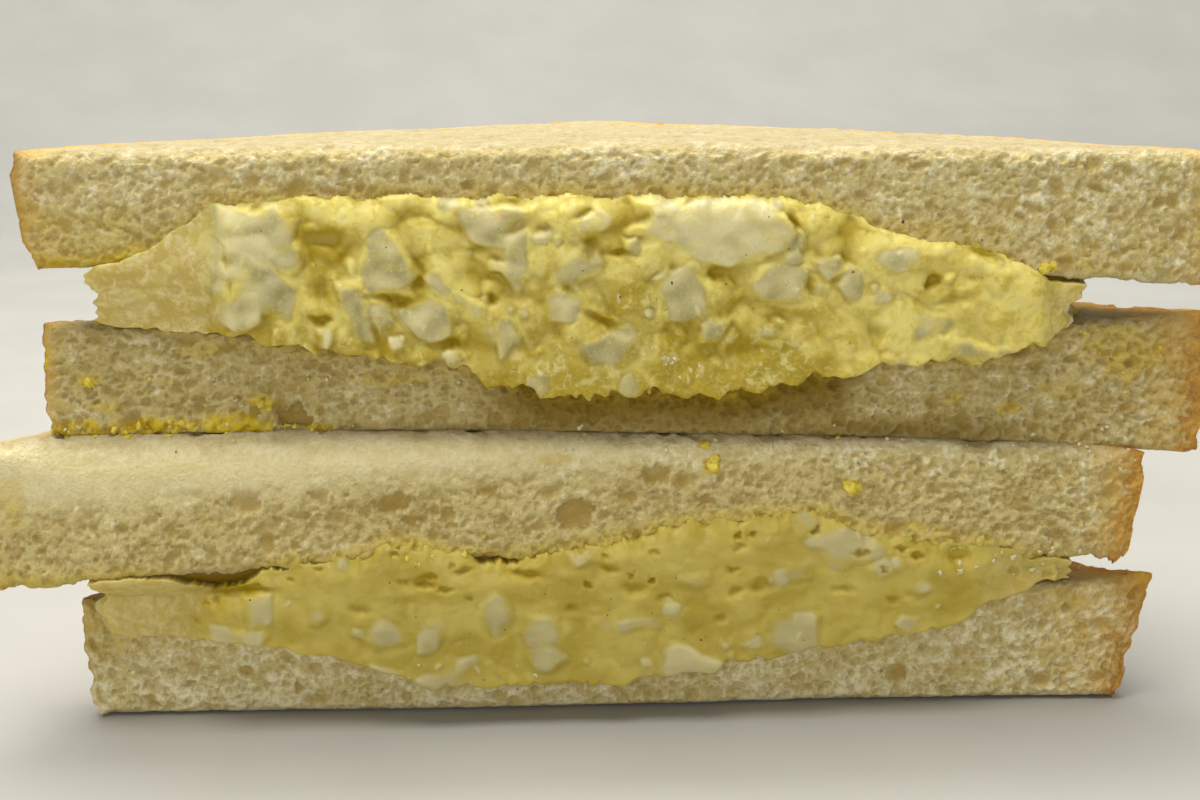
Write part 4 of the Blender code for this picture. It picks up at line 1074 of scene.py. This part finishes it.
def touch(px, py):
    """Point and outward direction of the sandwich at an image position, seen from the viewing side, or None."""
    ray = -VIEW_BACK * FOCAL_PIXELS + VIEW_RIGHT * (px - 600.0) + VIEW_UP * (400.0 - py)
    ray /= np.linalg.norm(ray)
    start = (VIEW_FROM + SHIFT) * MM
    best = None
    for name, tree in TREES:
        place, normal, _, far = tree.ray_cast(Vector(start), Vector(ray), 1.0)
        if place is not None and (best is None or far < best[2]):
            best = (np.array(place), np.array(normal), far, name)
    return best


def ball(rings=5, around=8):
    verts = [(0.0, 0.0, 1.0)]
    for i in range(1, rings):
        a = math.pi * i / rings
        verts += [(math.sin(a) * math.cos(2 * math.pi * j / around), math.sin(a) * math.sin(2 * math.pi * j / around), math.cos(a)) for j in range(around)]
    verts.append((0.0, 0.0, -1.0))
    faces = [(0, 1 + j, 1 + (j + 1) % around) for j in range(around)]
    for i in range(rings - 2):
        b = 1 + i * around
        faces += [(b + j, b + around + j, b + around + (j + 1) % around, b + (j + 1) % around) for j in range(around)]
    b, last = 1 + (rings - 2) * around, len(verts) - 1
    faces += [(b + j, last, b + (j + 1) % around) for j in range(around)]
    return np.array(verts), faces


def scatter(name, seed, spots, material, sink=0.35, lumpy=0.25, rings=6, around=10):
    """One piece of many small grains. A spot is x, y in the image, mean radius in mm and a flattening."""
    rng = np.random.default_rng(seed)
    unit, unit_faces = ball(rings, around)
    verts, faces = [], []
    for px, py, radius, flat in spots:
        found = touch(px, py)
        if found is None:
            continue
        place, normal = found[0], found[1] / np.linalg.norm(found[1])
        side = np.cross(normal, [0.3, 0.2, 1.0])
        side /= np.linalg.norm(side)
        up = np.cross(normal, side)
        a = rng.uniform(0, 6.28)
        e1, e2 = side * math.cos(a) + up * math.sin(a), up * math.cos(a) - side * math.sin(a)
        shape = unit * (1 + lumpy * rng.normal(0, 1, (len(unit), 1)) * 0.5)
        shape = shape * [rng.uniform(0.8, 1.5), rng.uniform(0.7, 1.1), flat]
        local = shape[:, :1] * e1 + shape[:, 1:2] * e2 + shape[:, 2:] * normal
        r = radius * MM
        start = len(verts)
        verts += [tuple(v) for v in place + normal * r * flat * (1 - 2 * sink) + local * r]
        faces += [tuple(start + i for i in face) for face in unit_faces]
    mesh = bpy.data.meshes.new(name)
    mesh.from_pydata(verts, [], faces)
    mesh.update()
    mesh.shade_smooth()
    ob = bpy.data.objects.new(name, mesh)
    bpy.context.scene.collection.objects.link(ob)
    ob.data.materials.append(material)
    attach(ob, "root")
    return ob


def plain(name, colours, rough, level=0.3, per_mm=1.2):
    m = Nodes(name)
    m.link(m.mix(m.ramp(m.noise(per_mm, 3), 0.38, 0.62), srgb(*colours[0]), srgb(*colours[1])), m.shader.inputs["Base Color"])
    m.shader.inputs["Roughness"].default_value = rough
    m.shader.inputs["Specular IOR Level"].default_value = level
    m.link(m.bump(m.noise(per_mm * 2.5, 3), 0.08, 0.6), m.shader.inputs["Normal"])
    return m.mat


def sprinkle(rng, box, count, size, flat=(0.6, 0.9), gather=None):
    """Random grains in an image box, gathered into little groups."""
    out = []
    x0, y0, x1, y1 = box
    while len(out) < count:
        cx, cy = rng.uniform(x0, x1), rng.uniform(y0, y1)
        for _ in range(1 if gather is None else rng.integers(1, gather)):
            out.append((min(max(cx + rng.normal(0, 4.5), x0), x1), min(max(cy + rng.normal(0, 2.5), y0), y1), size[0] * (size[1] / size[0]) ** rng.random(), rng.uniform(*flat)))
    return out[:count]


rng = np.random.default_rng(5)
yolk_spots = [(42, 348, 0.8, 0.4), (43, 357, 0.9, 0.4), (41, 364, 0.7, 0.4), (88, 382, 0.7, 0.35), (92, 385, 0.5, 0.35), (712, 466, 1.2, 0.28), (715, 461, 0.8, 0.3), (706, 445, 0.6, 0.4),
              (853, 487, 1.2, 0.32), (838, 437, 0.4, 0.5), (1045, 268, 1.0, 0.5), (1052, 266, 0.9, 0.5), (262, 404, 0.7, 0.35), (270, 408, 0.5, 0.35)]
yolk_spots += sprinkle(rng, (52, 424, 150, 438), 22, (0.15, 0.45), (0.3, 0.55), 6)
yolk_spots += sprinkle(rng, (150, 418, 335, 436), 30, (0.15, 0.45), (0.3, 0.55), 8)
yolk_spots += sprinkle(rng, (1075, 330, 1180, 400), 9, (0.15, 0.35), (0.3, 0.5), 3)
yolk_spots += sprinkle(rng, (380, 535, 560, 565), 8, (0.15, 0.4), (0.3, 0.5), 3)
yolk_spots += sprinkle(rng, (60, 330, 330, 430), 8, (0.12, 0.3), (0.3, 0.5), 2)
crumb_spots = sprinkle(rng, (60, 425, 420, 442), 12, (0.15, 0.3), (0.5, 0.9), 3) + sprinkle(rng, (560, 425, 1180, 470), 34, (0.15, 0.42), (0.5, 0.9), 3)
crumb_spots += sprinkle(rng, (200, 370, 470, 410), 16, (0.15, 0.35), (0.5, 0.9), 3) + sprinkle(rng, (640, 340, 700, 380), 14, (0.12, 0.26), (0.6, 0.9), 3)
crumb_spots += sprinkle(rng, (930, 545, 1080, 575), 24, (0.2, 0.45), (0.5, 0.9), 2) + sprinkle(rng, (80, 660, 1080, 700), 40, (0.15, 0.35), (0.5, 0.9), 2)
dark_spots = [(462, 290, 0.16, 0.6), (672, 283, 0.18, 0.6), (620, 297, 0.14, 0.6), (769, 217, 0.13, 0.6), (789, 249, 0.14, 0.6), (903, 222, 0.18, 0.6), (250, 600, 0.16, 0.6), (545, 594, 0.12, 0.6),
              (652, 613, 0.14, 0.6), (505, 630, 0.12, 0.6), (612, 578, 0.11, 0.6), (484, 680, 0.13, 0.6), (517, 689, 0.13, 0.6), (395, 603, 0.1, 0.6), (176, 452, 0.14, 0.6), (61, 286, 0.16, 0.6)]
dark_spots += sprinkle(rng, (220, 210, 1060, 380), 34, (0.06, 0.12)) + sprinkle(rng, (340, 560, 900, 690), 40, (0.06, 0.12)) + sprinkle(rng, (60, 440, 1150, 540), 6, (0.06, 0.10))
red_spots = [(853, 272, 0.18, 0.6), (416, 617, 0.16, 0.6), (701, 640, 0.16, 0.6), (706, 637, 0.1, 0.6), (690, 300, 0.1, 0.6), (746, 255, 0.1, 0.6)]
pieces += [
    scatter("yolk_crumbs", 71, yolk_spots, plain("crumbled_yolk", ((224, 208, 90), (200, 176, 46)), 0.6), sink=0.5, lumpy=0.4),
    scatter("bread_crumbs", 72, crumb_spots, plain("loose_crumb", ((226, 218, 182), (198, 184, 128)), 0.9, 0.2), lumpy=0.5),
    scatter("pepper_specks", 73, dark_spots, plain("ground_pepper", ((52, 40, 24), (92, 70, 36)), 0.6), rings=4, around=6),
    scatter("red_specks", 74, red_spots, plain("red_spice", ((176, 70, 26), (150, 50, 20)), 0.6), rings=4, around=6),
]

# ---------------------------------------------------------------- floor, light, camera
def floor_sheet():
    """A pale sheet that lies flat under the sandwich and sweeps up far behind it."""
    profile = [(-1.2, 0.0), (0.5, 0.0)]
    for k in range(1, 17):
        a = math.pi / 2 * k / 16
        profile.append((0.5 + 0.5 * math.sin(a), 0.5 - 0.5 * math.cos(a)))
    profile.append((1.0, 2.4))
    verts, faces = [], []
    for y, z in profile:
        verts += [(-2.5, y, z - 0.0002), (2.5, y, z - 0.0002)]
    for i in range(len(profile) - 1):
        faces.append((2 * i, 2 * i + 1, 2 * i + 3, 2 * i + 2))
    mesh = bpy.data.meshes.new("studio_floor")
    mesh.from_pydata(verts, [], faces)
    mesh.shade_smooth()
    ob = bpy.data.objects.new("studio_floor", mesh)
    bpy.context.scene.collection.objects.link(ob)
    m = Nodes("pale_floor")
    m.link(m.mix(m.ramp(m.noise(0.02, 2), 0.3, 0.7), srgb(172, 171, 166), srgb(167, 166, 161)), m.shader.inputs["Base Color"])
    m.shader.inputs["Roughness"].default_value = 0.6
    m.shader.inputs["Specular IOR Level"].default_value = 0.2
    ob.data.materials.append(m.mat)


floor_sheet()


def area(name, place, aim, size, power, colour):
    light = bpy.data.lights.new(name, "AREA")
    light.shape = "RECTANGLE"
    light.size, light.size_y = size
    light.energy = power
    light.color = colour
    ob = bpy.data.objects.new(name, light)
    ob.location = place
    ob.rotation_euler = (Vector(aim) - Vector(place)).to_track_quat("-Z", "Y").to_euler()
    bpy.context.scene.collection.objects.link(ob)


area("overhead", (-0.08, -0.02, 0.60), (0.0, -0.03, 0.03), (0.55, 0.40), 5.4, (1.0, 0.975, 0.91))
area("front_fill", (-0.25, -1.1, 0.28), (0.0, 0.0, 0.03), (0.8, 0.5), 3.5, (1.0, 0.975, 0.91))
area("backdrop_wash", (0.0, 0.25, 0.95), (0.0, 1.0, 0.30), (1.6, 0.4), 13.0, (1.0, 0.985, 0.95))

world = bpy.data.worlds.new("soft_room")
world.use_nodes = True
world.node_tree.nodes["Background"].inputs["Color"].default_value = (1.0, 0.965, 0.90, 1)
world.node_tree.nodes["Background"].inputs["Strength"].default_value = 0.30
bpy.context.scene.world = world
bpy.context.scene.view_settings.view_transform = "Standard"

camera = bpy.data.cameras.new("camera")
camera.sensor_width = 36.0
camera.lens = 36.0 * FOCAL_PIXELS / 1200.0
camera.clip_start = 0.01
eye = bpy.data.objects.new("camera", camera)
axes = np.stack([VIEW_RIGHT, VIEW_UP, VIEW_BACK], 1)
place = (VIEW_FROM + SHIFT) * MM
eye.matrix_world = Matrix([[*axes[i], place[i]] for i in range(3)] + [[0, 0, 0, 1]])
bpy.context.scene.collection.objects.link(eye)
bpy.context.scene.camera = eye

for ob in pieces:
    print(ob.name, "faces", len(ob.data.polygons), "tris", sum(p.loop_total - 2 for p in ob.data.polygons))
bpy.context.view_layer.update()
